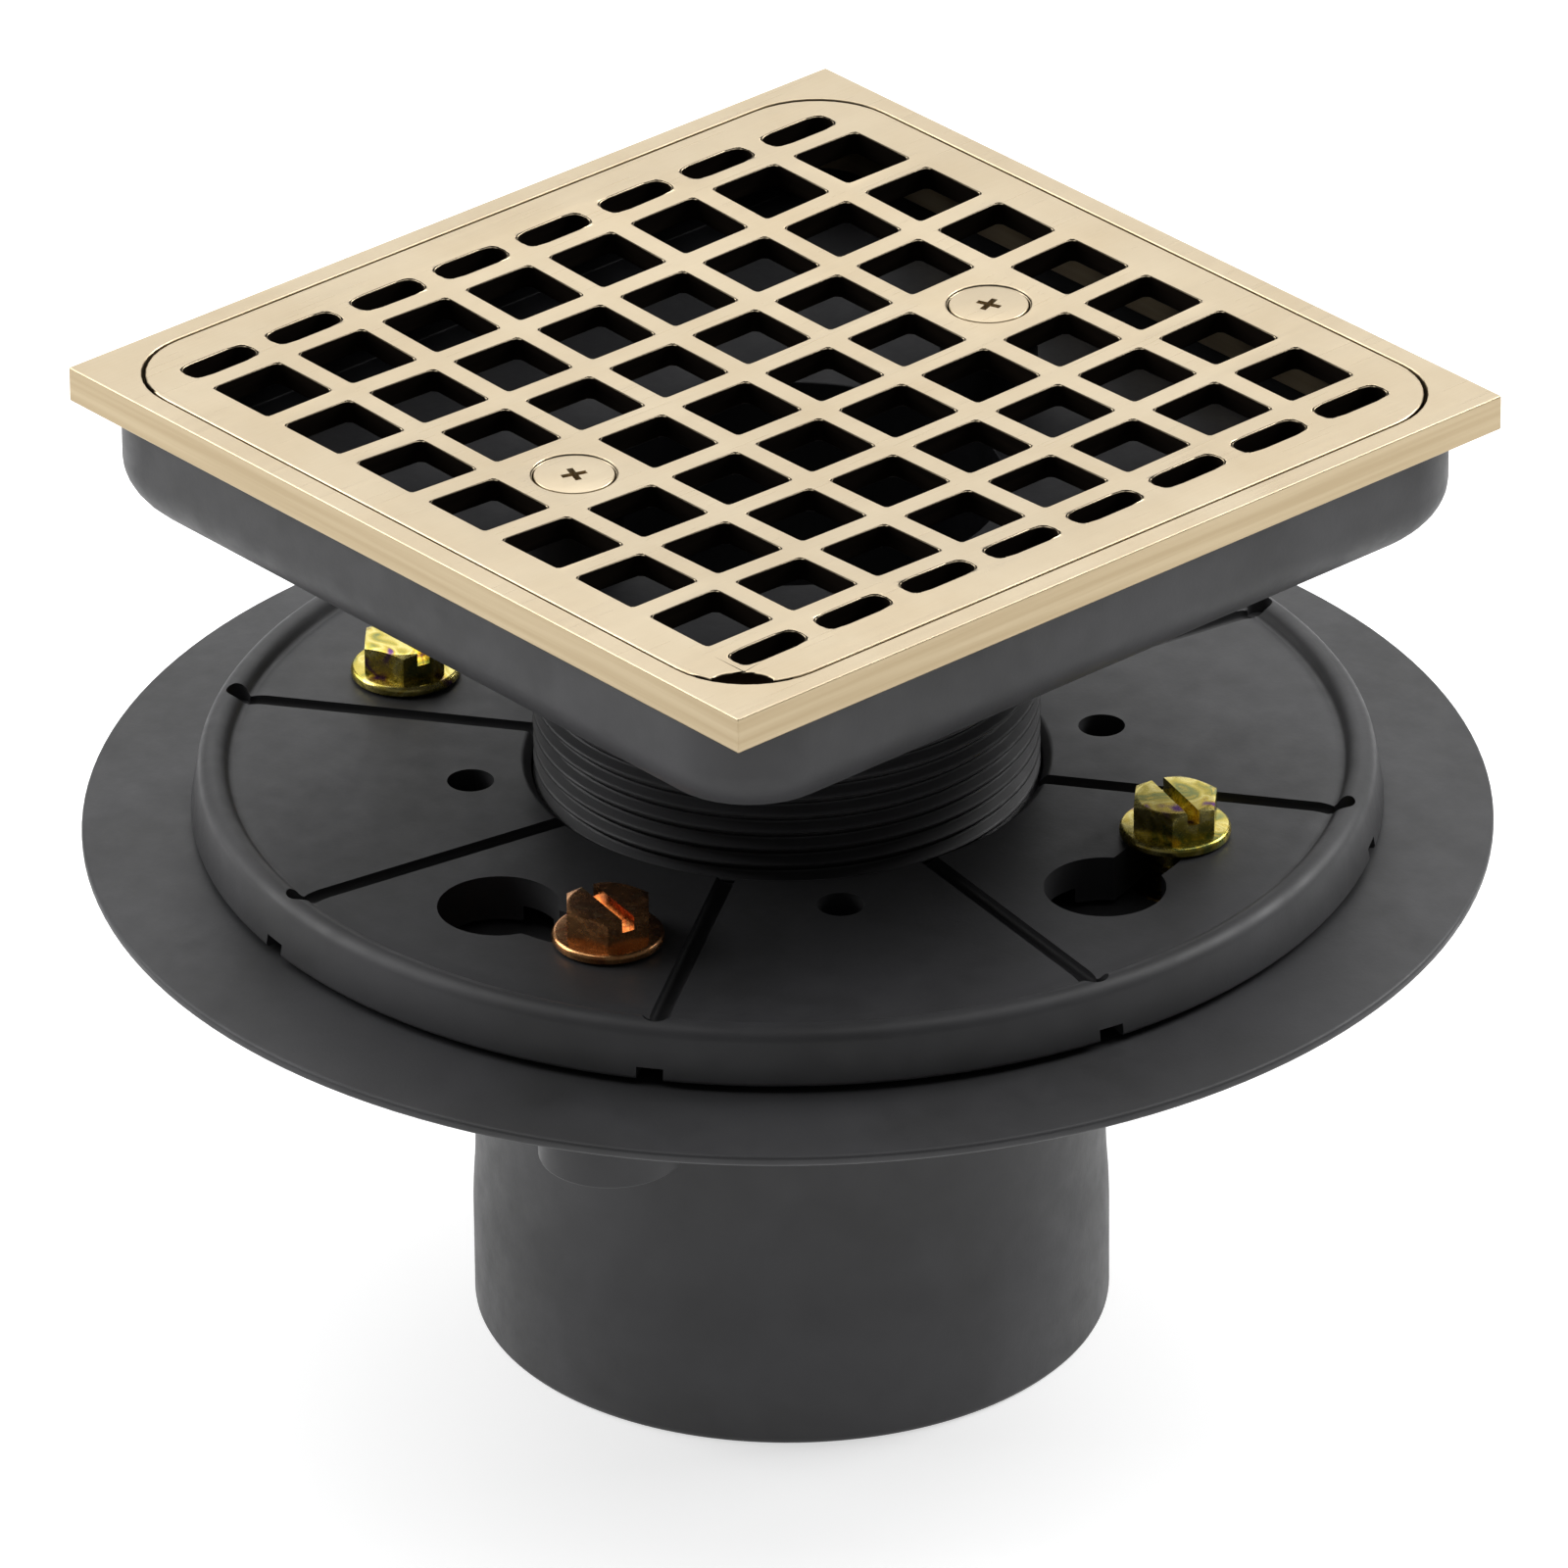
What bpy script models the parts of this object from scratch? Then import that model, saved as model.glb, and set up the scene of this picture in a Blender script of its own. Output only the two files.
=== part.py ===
"""Adjustable floor drain with a square metal grate.

A flanged plastic base ends in a hub that takes the waste pipe.  A clamping collar is bolted
on the flange and holds the waterproof liner.  The strainer screws up and down in the collar:
its threaded barrel carries a square head, a metal frame and the lift-out grate.

Metres, +Z up.  The origin is the centre of the hub's lower end.  Run it with
    blender --background --python part.py
or from Blender's text editor.
"""

import math

import bmesh
import bpy
from mathutils import Matrix

MM = 0.001
GAP = 0.3 * MM              # clearance left between pieces that touch
OVERSHOOT = 1.0 * MM        # how far a cutter runs past the surface it opens
ROUND_STEPS = 64            # facets round a large turned piece
SMALL_STEPS = 20            # facets round a fastener or a small hole

# ---------------------------------------------------------------- driving dimensions

# Grate: square holes on a square grid, and one line of slots along two sides.
PITCH = 13.0 * MM
HOLE_COLUMNS = 7            # squares along X
HOLE_ROWS = 8               # squares along Y
HOLE = 10.1 * MM
SLOT_X = 3.75 * PITCH
SLOT_WIDTH = 3.6 * MM
SCREW_ROWS = (1, 6)         # rows whose middle square is a screw boss instead
SCREW_Y = 2.5 * PITCH
GRATE_THICKNESS = 2.9 * MM
DISH_DEPTH = 1.3 * MM       # the middle of the grate lies this far below its rim
DISH_RADIUS = 53.3 * MM
PRY_NOTCH = (7.0 * MM, 2.2 * MM)

# Metal frame round the grate.
FRAME_TOP = 122.4 * MM
FRAME_HEIGHT = 4.4 * MM
FRAME_HALF = 59.6 * MM
OPENING_HALF = 56.7 * MM
OPENING_RADIUS = 11.0 * MM
LEDGE_HALF = 52.9 * MM
LEDGE_THICKNESS = 1.2 * MM
SKIRT_HALF = 54.6 * MM
SKIRT_DEPTH = 3.2 * MM

# Strainer body: a square head on a threaded barrel.
HEAD_HALF = 58.5 * MM
HEAD_RADIUS = 11.0 * MM
HEAD_HEIGHT = 10.9 * MM
HEAD_EDGE_ROUND = 4.0 * MM
TRAY_FLOOR = 3.8 * MM
TRAY_SLOPE_RADIUS = 48.0 * MM
BARREL_RADIUS = 30.15 * MM
BARREL_BORE = 26.0 * MM
BARREL_END = 50.0 * MM
SCREW_BOSS_RADIUS = 5.8 * MM

# Clamping collar.
COLLAR_BOTTOM = 67.2 * MM
COLLAR_TOP = 72.9 * MM
COLLAR_RADIUS = 71.0 * MM
RIM_INNER = 65.6 * MM
RIM_HEIGHT = 1.1 * MM
COLLAR_BORE = BARREL_RADIUS + GAP
NECK_RADIUS = 33.6 * MM
NECK_BOTTOM = 60.5 * MM
RECESS_RADIUS = 43.5 * MM
RECESS_DEPTH = 2.0 * MM
GROOVE_COUNT = 8
GROOVE_ANGLE = 35.5
GROOVE_WIDTH = 2.6 * MM
GROOVE_DEPTH = 1.3 * MM
GROOVE_END = 68.6 * MM
CHANNEL_WIDTH = 3.2 * MM
CHANNEL_HEIGHT = 1.6 * MM
WEEP_ANGLE = 58.0
WEEP_CIRCLE = 38.0 * MM
WEEP_RADIUS = 2.8 * MM

# Collar bolts, a quarter inch across, on one circle, and their keyholes in the collar.
BOLT_COUNT = 4
BOLT_CIRCLE = 50.2 * MM
BOLT_ANGLE = 24.0
KEYHOLE_TURN = 17.7         # degrees from the bolt back to the keyhole's wide end
KEYHOLE_RADIUS = 7.2 * MM
SLOT_RADIUS = 3.5 * MM
BOLT_SHANK_RADIUS = 3.0 * MM
BOLT_LENGTH = 25.4 * MM
BOLT_WASHER_RADIUS = 6.6 * MM
BOLT_WASHER_HEIGHT = 1.2 * MM
BOLT_HEX_FLATS = 9.5 * MM
BOLT_HEAD_HEIGHT = 4.8 * MM
BOLT_SLOT_ANGLES = (-16.0, 52.0, -13.0, -11.0)   # as each bolt was left when driven

# Base: flange, throat and hub, turned about Z.
FLANGE_RADIUS = 84.0 * MM
FLANGE_TOP = 66.4 * MM
FLANGE_EDGE_TOP = 65.4 * MM
FLANGE_UNDERSIDE = 61.6 * MM
THROAT_RADIUS = 35.6 * MM
HUB_RADIUS = 37.9 * MM
HUB_FOOT_RADIUS = 38.3 * MM
HUB_FOOT_HEIGHT = 16.0 * MM
SOCKET_RADIUS = 30.25 * MM
SOCKET_DEPTH = 19.0 * MM
PIPE_STOP_RADIUS = 27.0 * MM
BOSS_RADIUS = 8.8 * MM
BOSS_BOTTOM = 44.4 * MM
CORE_COUNT = 8              # moulding hollows between the socket and the hub's outer wall
CORE_INNER = 33.4 * MM
CORE_OUTER = 35.4 * MM
CORE_DEPTH = 15.0 * MM
CORE_RIB = 3.0 * MM

# Brass inserts that the fasteners screw into: outer radius, bore, length.
BOLT_INSERT = (4.8 * MM, BOLT_SHANK_RADIUS + GAP, 12.7 * MM)
SCREW_SHANK_RADIUS = 2.35 * MM
SCREW_HEAD_RADIUS = 4.75 * MM
SCREW_HEAD_HEIGHT = 2.8 * MM
SCREW_HEAD_RIM = 0.3 * MM   # the straight edge of the head above its cone
SCREW_SINK = 0.1 * MM       # how far the head lies below the grate's face
SCREW_LENGTH = 12.7 * MM
SCREW_INSERT = (3.6 * MM, SCREW_SHANK_RADIUS + GAP, 6.0 * MM)

# ---------------------------------------------------------------- heights worked out

FRAME_BOTTOM = FRAME_TOP - FRAME_HEIGHT
LEDGE_TOP = FRAME_BOTTOM + LEDGE_THICKNESS
GRATE_TOP = LEDGE_TOP + GAP + GRATE_THICKNESS
HEAD_TOP = FRAME_BOTTOM - GAP
HEAD_BOTTOM = HEAD_TOP - HEAD_HEIGHT
TRAY_Z = HEAD_BOTTOM + TRAY_FLOOR


def dish(radius):
    """Height of the grate's top face below its rim, at a distance from the middle."""
    return DISH_DEPTH * max(0.0, 1.0 - (radius / DISH_RADIUS) ** 2)


SCREW_TOP = GRATE_TOP - dish(SCREW_Y)
SCREW_BOSS_TOP = SCREW_TOP - GRATE_THICKNESS - GAP
BOLT_SEAT = COLLAR_TOP + GAP

# ---------------------------------------------------------------- scene and materials

for old in list(bpy.data.objects):
    bpy.data.objects.remove(old, do_unlink=True)

parts = bpy.data.collections.new("floor_drain")
cutters = bpy.data.collections.new("cutters")
bpy.context.scene.collection.children.link(parts)
bpy.context.scene.collection.children.link(cutters)


def make_material(name, colour, roughness, metallic):
    """A plain Principled BSDF material."""
    material = bpy.data.materials.new(name)
    material.use_nodes = True
    shader = material.node_tree.nodes["Principled BSDF"]
    shader.inputs["Base Color"].default_value = (*colour, 1.0)
    shader.inputs["Roughness"].default_value = roughness
    shader.inputs["Metallic"].default_value = metallic
    return material


PLASTIC = make_material("charcoal_abs", (0.075, 0.075, 0.078), 0.55, 0.0)
NICKEL_BRONZE = make_material("satin_nickel_bronze", (0.80, 0.69, 0.53), 0.35, 1.0)
YELLOW_ZINC = make_material("yellow_zinc_steel", (0.62, 0.50, 0.20), 0.30, 1.0)
BRASS = make_material("turned_brass", (0.72, 0.52, 0.22), 0.35, 1.0)


# ---------------------------------------------------------------- modelling helpers

def add_object(name, mesh, material=None, parent=None, location=(0, 0, 0), turn=0.0):
    """Link a mesh as a part, or as a hidden cutter when it has no material."""
    thing = bpy.data.objects.new(name, mesh)
    thing.location = location
    thing.rotation_euler.z = math.radians(turn)
    thing.parent = parent
    if material is None:
        cutters.objects.link(thing)
        thing.hide_render = True
        thing.display_type = "WIRE"
    else:
        parts.objects.link(thing)
        mesh.materials.append(material)
    return thing


def add_empty(name, parent=None):
    """An empty on the drain's axis, for the pieces that move together."""
    empty = bpy.data.objects.new(name, None)
    empty.parent = parent
    empty.empty_display_size = 0.02
    parts.objects.link(empty)
    return empty


def mesh_from(shape, name):
    """Turn a finished bmesh into a mesh, with its normals pointing out."""
    bmesh.ops.recalc_face_normals(shape, faces=shape.faces[:])
    mesh = bpy.data.meshes.new(name)
    shape.to_mesh(mesh)
    shape.free()
    return mesh


def turned(name, profile, material=None, steps=ROUND_STEPS, closed=True, **place):
    """A profile of (radius, z) points turned about Z.

    The points run down the outer side, top to bottom.  A closed profile goes on up the
    bore and back to its start; an open one starts and ends on the axis.
    """
    mesh = bpy.data.meshes.new(name)
    edges = [(i, i + 1) for i in range(len(profile) - 1)]
    if closed:
        edges.append((len(profile) - 1, 0))
    mesh.from_pydata([(radius, 0, z) for radius, z in profile], edges, [])
    thing = add_object(name, mesh, material, **place)
    screw = thing.modifiers.new("Turn", "SCREW")
    screw.axis = "Z"
    screw.steps = steps
    screw.render_steps = steps
    screw.use_merge_vertices = True
    screw.merge_threshold = 0.00001
    return thing


def rounded_block(name, half, radius, bottom, top, material=None, edge_round=0.0, parent=None):
    """A square block with round corners, and if asked a round lower edge."""
    shape = bmesh.new()
    bmesh.ops.create_cube(shape, size=1.0)
    bmesh.ops.scale(shape, vec=(2 * half, 2 * half, top - bottom), verts=shape.verts)
    bmesh.ops.translate(shape, vec=(0, 0, (top + bottom) / 2), verts=shape.verts)
    corners = [e for e in shape.edges if abs(e.verts[0].co.z - e.verts[1].co.z) > GAP]
    if radius > 0.0:
        bmesh.ops.bevel(shape, geom=corners, offset=radius, segments=6, profile=0.5,
                        affect="EDGES", material=-1)
    if edge_round > 0.0:
        lower = [e for e in shape.edges
                 if all(abs(v.co.z - bottom) < GAP for v in e.verts)]
        bmesh.ops.bevel(shape, geom=lower, offset=edge_round, segments=3, profile=0.5,
                        affect="EDGES", material=-1)
    return add_object(name, mesh_from(shape, name), material, parent=parent)


def add_cylinder(shape, radius, bottom, top, centre=(0, 0), steps=SMALL_STEPS, turn=0.0):
    """Add one upright cylinder to a bmesh."""
    made = bmesh.ops.create_cone(shape, cap_ends=True, segments=steps, radius1=radius,
                                 radius2=radius, depth=top - bottom)["verts"]
    bmesh.ops.rotate(shape, verts=made, matrix=Matrix.Rotation(math.radians(turn), 3, "Z"))
    bmesh.ops.translate(shape, verts=made, vec=(*centre, (top + bottom) / 2))


def add_block(shape, inner, outer, width, bottom, top, angle):
    """Add one radial bar to a bmesh, from an inner to an outer radius at an angle."""
    made = bmesh.ops.create_cube(shape, size=1.0)["verts"]
    bmesh.ops.scale(shape, verts=made, vec=(outer - inner, width, top - bottom))
    bmesh.ops.translate(shape, verts=made, vec=((inner + outer) / 2, 0, (top + bottom) / 2))
    bmesh.ops.rotate(shape, verts=made, matrix=Matrix.Rotation(math.radians(angle), 3, "Z"))


def add_sector(shape, inner, outer, bottom, top, start, end, steps):
    """Add one stretch of a ring to a bmesh, between two angles."""
    made = bmesh.ops.create_grid(shape, x_segments=1, y_segments=1, size=0.5)["verts"]
    bmesh.ops.scale(shape, verts=made, vec=(outer - inner, top - bottom, 1.0))
    bmesh.ops.rotate(shape, verts=made, matrix=Matrix.Rotation(math.radians(90), 3, "X"))
    bmesh.ops.translate(shape, verts=made, vec=((inner + outer) / 2, 0, (top + bottom) / 2))
    bmesh.ops.rotate(shape, verts=made, matrix=Matrix.Rotation(math.radians(start), 3, "Z"))
    face = made[0].link_faces[0]
    bmesh.ops.spin(shape, geom=[face], cent=(0, 0, 0), axis=(0, 0, 1), dvec=(0, 0, 0),
                   angle=math.radians(end - start), steps=steps, use_duplicate=False)


def on_circle(radius, angle):
    """The (x, y) point at a radius and an angle in degrees."""
    return radius * math.cos(math.radians(angle)), radius * math.sin(math.radians(angle))


def combine(target, operation, name, other):
    """Join another solid to a part, or cut it away, with an exact Boolean."""
    boolean = target.modifiers.new(name, "BOOLEAN")
    boolean.operation = operation
    boolean.solver = "EXACT"
    boolean.object = other


def cut_with(target, name, shape):
    """Cut a part with the solids of a bmesh, which don't overlap one another."""
    combine(target, "DIFFERENCE", name, add_object(name, mesh_from(shape, name)))


def join_with(target, name, shape):
    """Join the solids of a bmesh to a part."""
    combine(target, "UNION", name, add_object(name, mesh_from(shape, name)))


def finished_mesh(thing, name):
    """The evaluated mesh of an object, for copies to share; the object itself goes."""
    evaluated = thing.evaluated_get(bpy.context.evaluated_depsgraph_get())
    mesh = bpy.data.meshes.new_from_object(evaluated)
    mesh.name = name
    for modifier in thing.modifiers:
        if modifier.type == "BOOLEAN":
            bpy.data.objects.remove(modifier.object, do_unlink=True)
    bpy.data.objects.remove(thing, do_unlink=True)
    return mesh


def ring_profile(outer, bore, length):
    """A plain sleeve with a small outer chamfer, hanging down from z = 0."""
    chamfer = 0.4 * MM
    return [(outer - chamfer, 0.0), (outer, -chamfer), (outer, chamfer - length),
            (outer - chamfer, -length), (bore, -length), (bore, 0.0)]


def add_copy(name, mesh, location, parent=None, turn=0.0):
    """One more piece that shares a finished mesh and its material."""
    thing = bpy.data.objects.new(name, mesh)
    thing.location = location
    thing.rotation_euler.z = math.radians(turn)
    thing.parent = parent
    parts.objects.link(thing)
    return thing


BOLT_ANGLES = [BOLT_ANGLE + i * 360.0 / BOLT_COUNT for i in range(BOLT_COUNT)]
collar_axis = add_empty("collar_axis")
strainer_axis = add_empty("strainer_axis", collar_axis)
grate_axis = add_empty("grate_axis", strainer_axis)


# ---------------------------------------------------------------- base

def make_base():
    """Flange, throat and hub in one moulding, with a boss under each bolt."""
    bead = 0.5 * MM
    bead_radius = 59.3 * MM
    fillet = 3.2 * MM
    chamfer = 0.8 * MM
    profile = [
        (THROAT_RADIUS + chamfer, FLANGE_TOP),
        (bead_radius - 2 * bead, FLANGE_TOP),
        (bead_radius, FLANGE_TOP + bead),
        (bead_radius + 2 * bead, FLANGE_TOP),
        (COLLAR_RADIUS, FLANGE_TOP),
        (FLANGE_RADIUS - chamfer, FLANGE_EDGE_TOP),
        (FLANGE_RADIUS, FLANGE_EDGE_TOP - chamfer / 2),
        (FLANGE_RADIUS, FLANGE_EDGE_TOP - 1.5 * chamfer),
        (FLANGE_RADIUS - 10 * MM, FLANGE_UNDERSIDE),
    ]
    # The fillet under the flange, as an arc from the underside to the hub's wall.
    for step in range(4):
        angle = math.radians(90.0 - 30.0 * step)
        profile.append((HUB_RADIUS + fillet * (1 - math.cos(angle)),
                        FLANGE_UNDERSIDE - fillet * (1 - math.sin(angle))))
    profile += [
        (HUB_RADIUS, HUB_FOOT_HEIGHT),
        (HUB_FOOT_RADIUS, HUB_FOOT_HEIGHT - chamfer),
        (HUB_FOOT_RADIUS, chamfer),
        (HUB_FOOT_RADIUS - chamfer, 0.0),
        (SOCKET_RADIUS + chamfer, 0.0),
        (SOCKET_RADIUS, chamfer),
        (SOCKET_RADIUS, SOCKET_DEPTH),
        (PIPE_STOP_RADIUS, SOCKET_DEPTH),
        (PIPE_STOP_RADIUS, SOCKET_DEPTH + 2.5 * MM),
        (THROAT_RADIUS, SOCKET_DEPTH + 8.0 * MM),
        (THROAT_RADIUS, FLANGE_TOP - chamfer),
    ]
    base = turned("drain_base", profile, PLASTIC)

    bosses = bmesh.new()
    webs = bmesh.new()
    pockets = bmesh.new()
    bores = bmesh.new()
    pocket_bottom = FLANGE_TOP - GAP - BOLT_INSERT[2] - GAP
    for angle in BOLT_ANGLES:
        centre = on_circle(BOLT_CIRCLE, angle)
        add_cylinder(bosses, BOSS_RADIUS, BOSS_BOTTOM, FLANGE_UNDERSIDE + OVERSHOOT,
                     centre, steps=24, turn=angle)
        add_block(webs, HUB_RADIUS - OVERSHOOT, BOLT_CIRCLE - BOSS_RADIUS + 2 * MM, 8 * MM,
                  BOSS_BOTTOM + OVERSHOOT, FLANGE_UNDERSIDE + OVERSHOOT / 2, angle)
        add_cylinder(pockets, BOLT_INSERT[0] + GAP, pocket_bottom, FLANGE_TOP + OVERSHOOT,
                     centre)
        add_cylinder(bores, SLOT_RADIUS, BOSS_BOTTOM + 2 * MM, pocket_bottom + OVERSHOOT,
                     centre)
    join_with(base, "bolt_bosses", bosses)
    join_with(base, "boss_webs", webs)
    cut_with(base, "insert_pockets", pockets)
    cut_with(base, "bolt_bores", bores)

    cores = bmesh.new()
    rib_angle = math.degrees(CORE_RIB / CORE_OUTER)
    for i in range(CORE_COUNT):
        start = (i - 0.5) * 360.0 / CORE_COUNT + rib_angle / 2
        end = (i + 0.5) * 360.0 / CORE_COUNT - rib_angle / 2
        add_sector(cores, CORE_INNER, CORE_OUTER, -OVERSHOOT, CORE_DEPTH, start, end, 7)
    cut_with(base, "moulding_hollows", cores)

    insert = turned("bolt_insert_blank", ring_profile(*BOLT_INSERT), BRASS, SMALL_STEPS)
    shared = finished_mesh(insert, "bolt_insert")
    top = FLANGE_TOP - GAP
    for i, angle in enumerate(BOLT_ANGLES, start=1):
        add_copy(f"bolt_insert_{i}", shared, (*on_circle(BOLT_CIRCLE, angle), top))


# ---------------------------------------------------------------- clamping collar

def make_collar():
    """The ring that clamps the liner: raised rim, keyholes, weep holes, inner thread."""
    rim_top = COLLAR_TOP + RIM_HEIGHT
    profile = [
        (COLLAR_BORE + 1.0 * MM, COLLAR_TOP),
        (RIM_INNER, COLLAR_TOP),
        (RIM_INNER + RIM_HEIGHT, rim_top),
        (COLLAR_RADIUS - 2.4 * MM, rim_top),
        (COLLAR_RADIUS - 1.1 * MM, rim_top - 0.5 * MM),
        (COLLAR_RADIUS - 0.6 * MM, rim_top - 1.5 * MM),
        (COLLAR_RADIUS, COLLAR_BOTTOM),
        (RECESS_RADIUS, COLLAR_BOTTOM),
        (RECESS_RADIUS, COLLAR_BOTTOM + RECESS_DEPTH),
        (NECK_RADIUS, COLLAR_BOTTOM + RECESS_DEPTH),
        (NECK_RADIUS, NECK_BOTTOM),
        (COLLAR_BORE, NECK_BOTTOM),
        (COLLAR_BORE, COLLAR_TOP - 1.0 * MM),
    ]
    collar = turned("clamping_collar", profile, PLASTIC, parent=collar_axis)

    low = COLLAR_BOTTOM - OVERSHOOT
    high = COLLAR_TOP + OVERSHOOT
    wide_ends = bmesh.new()
    slots = bmesh.new()
    slot_ends = bmesh.new()
    weeps = bmesh.new()
    for i, angle in enumerate(BOLT_ANGLES):
        wide = angle - KEYHOLE_TURN
        add_cylinder(wide_ends, KEYHOLE_RADIUS, low, high, on_circle(BOLT_CIRCLE, wide),
                     steps=28)
        add_sector(slots, BOLT_CIRCLE - SLOT_RADIUS, BOLT_CIRCLE + SLOT_RADIUS, low, high,
                   wide, angle, 5)
        add_cylinder(slot_ends, SLOT_RADIUS, low, high, on_circle(BOLT_CIRCLE, angle),
                     turn=angle)
        weep = WEEP_ANGLE + i * 360.0 / BOLT_COUNT
        add_cylinder(weeps, WEEP_RADIUS, low, high, on_circle(WEEP_CIRCLE, weep))
    cut_with(collar, "keyhole_wide_ends", wide_ends)
    cut_with(collar, "keyhole_slots", slots)
    cut_with(collar, "keyhole_slot_ends", slot_ends)
    cut_with(collar, "weep_holes", weeps)

    grooves = bmesh.new()
    channels = bmesh.new()
    for i in range(GROOVE_COUNT):
        angle = GROOVE_ANGLE + i * 360.0 / GROOVE_COUNT
        add_block(grooves, COLLAR_BORE + 2 * MM, GROOVE_END, GROOVE_WIDTH,
                  COLLAR_TOP - GROOVE_DEPTH, rim_top + OVERSHOOT, angle)
        add_block(channels, RECESS_RADIUS - OVERSHOOT, COLLAR_RADIUS + OVERSHOOT,
                  CHANNEL_WIDTH, low, COLLAR_BOTTOM + CHANNEL_HEIGHT, angle)
    cut_with(collar, "top_grooves", grooves)
    cut_with(collar, "under_channels", channels)


# ---------------------------------------------------------------- collar bolts

def make_bolts():
    """Slotted hex bolts with a washer face; each origin is under its head, on its axis."""
    chamfer = 0.5 * MM
    washer = BOLT_WASHER_RADIUS
    height = BOLT_WASHER_HEIGHT
    shank = BOLT_SHANK_RADIUS
    profile = [(0, height), (washer - 0.4 * MM, height), (washer, height - 0.4 * MM),
               (washer, 0), (shank, 0), (shank, chamfer - BOLT_LENGTH),
               (shank - chamfer, -BOLT_LENGTH), (0, -BOLT_LENGTH)]
    bolt = turned("bolt_blank", profile, YELLOW_ZINC, SMALL_STEPS, closed=False)

    hexagon = bmesh.new()
    across_corners = BOLT_HEX_FLATS / math.cos(math.radians(30))
    add_cylinder(hexagon, across_corners / 2, height / 2, BOLT_HEAD_HEIGHT, steps=6)
    top_edges = [e for e in hexagon.edges
                 if all(v.co.z > BOLT_HEAD_HEIGHT - GAP for v in e.verts)]
    bmesh.ops.bevel(hexagon, geom=top_edges, offset=0.35 * MM, segments=1, profile=0.5,
                    affect="EDGES", material=-1)
    join_with(bolt, "bolt_hexagon", hexagon)

    slot = bmesh.new()
    add_block(slot, -washer, washer, 1.6 * MM, BOLT_HEAD_HEIGHT - 1.7 * MM,
              BOLT_HEAD_HEIGHT + OVERSHOOT, 0.0)
    cut_with(bolt, "bolt_slot", slot)

    shared = finished_mesh(bolt, "collar_bolt")
    for i, angle in enumerate(BOLT_ANGLES):
        place = (*on_circle(BOLT_CIRCLE, angle), BOLT_SEAT)
        add_copy(f"collar_bolt_{i + 1}", shared, place, turn=BOLT_SLOT_ANGLES[i])


# ---------------------------------------------------------------- strainer body

def make_strainer_body():
    """The square head and its barrel in one moulding, with a tray that drains to the bore."""
    body = rounded_block("strainer_body", HEAD_HALF, HEAD_RADIUS, HEAD_BOTTOM, HEAD_TOP,
                         PLASTIC, edge_round=HEAD_EDGE_ROUND, parent=strainer_axis)
    barrel = bmesh.new()
    add_cylinder(barrel, BARREL_RADIUS, BARREL_END, HEAD_BOTTOM + OVERSHOOT,
                 steps=ROUND_STEPS)
    join_with(body, "barrel", barrel)

    tray_half = SKIRT_HALF + GAP
    tray = rounded_block("tray_hollow", tray_half, HEAD_RADIUS - HEAD_HALF + tray_half,
                         TRAY_Z, HEAD_TOP + OVERSHOOT)
    combine(body, "DIFFERENCE", "tray_hollow", tray)
    slope_depth = 1.6 * MM
    slope = turned("tray_slope", [(0, TRAY_Z + GAP), (TRAY_SLOPE_RADIUS, TRAY_Z + GAP),
                                  (TRAY_SLOPE_RADIUS, TRAY_Z),
                                  (BARREL_BORE - OVERSHOOT, TRAY_Z - slope_depth),
                                  (0, TRAY_Z - slope_depth)], closed=False)
    combine(body, "DIFFERENCE", "tray_slope", slope)
    bore = bmesh.new()
    add_cylinder(bore, BARREL_BORE, BARREL_END - OVERSHOOT, HEAD_TOP, steps=ROUND_STEPS)
    cut_with(body, "barrel_bore", bore)

    bosses = bmesh.new()
    holes = bmesh.new()
    for side in (-1, 1):
        centre = (0, side * SCREW_Y)
        add_cylinder(bosses, SCREW_BOSS_RADIUS, HEAD_BOTTOM + OVERSHOOT, SCREW_BOSS_TOP,
                     centre)
        add_cylinder(holes, SCREW_INSERT[0] + GAP, HEAD_BOTTOM + 1.5 * MM,
                     SCREW_BOSS_TOP + OVERSHOOT, centre)
    join_with(body, "screw_bosses", bosses)
    cut_with(body, "screw_insert_holes", holes)

    insert = turned("screw_insert_blank", ring_profile(*SCREW_INSERT), BRASS, SMALL_STEPS)
    shared = finished_mesh(insert, "screw_insert")
    for i, side in enumerate((-1, 1), start=1):
        place = (0, side * SCREW_Y, SCREW_BOSS_TOP - GAP)
        add_copy(f"screw_insert_{i}", shared, place, parent=strainer_axis)


# ---------------------------------------------------------------- frame and grate

def make_frame():
    """The sharp-cornered metal frame, with a ledge for the grate and a locating skirt."""
    frame = rounded_block("strainer_frame", FRAME_HALF, 0.0, FRAME_BOTTOM, FRAME_TOP,
                          NICKEL_BRONZE, parent=strainer_axis)
    skirt = rounded_block("skirt", SKIRT_HALF, OPENING_RADIUS - OPENING_HALF + SKIRT_HALF,
                          FRAME_BOTTOM - SKIRT_DEPTH, FRAME_BOTTOM + GAP)
    combine(frame, "UNION", "skirt", skirt)
    pocket = rounded_block("grate_pocket", OPENING_HALF, OPENING_RADIUS, LEDGE_TOP,
                           FRAME_TOP + OVERSHOOT)
    combine(frame, "DIFFERENCE", "grate_pocket", pocket)
    opening = rounded_block("frame_opening", LEDGE_HALF,
                            OPENING_RADIUS - OPENING_HALF + LEDGE_HALF,
                            FRAME_BOTTOM - SKIRT_DEPTH - OVERSHOOT, LEDGE_TOP + OVERSHOOT)
    combine(frame, "DIFFERENCE", "frame_opening", opening)


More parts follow.
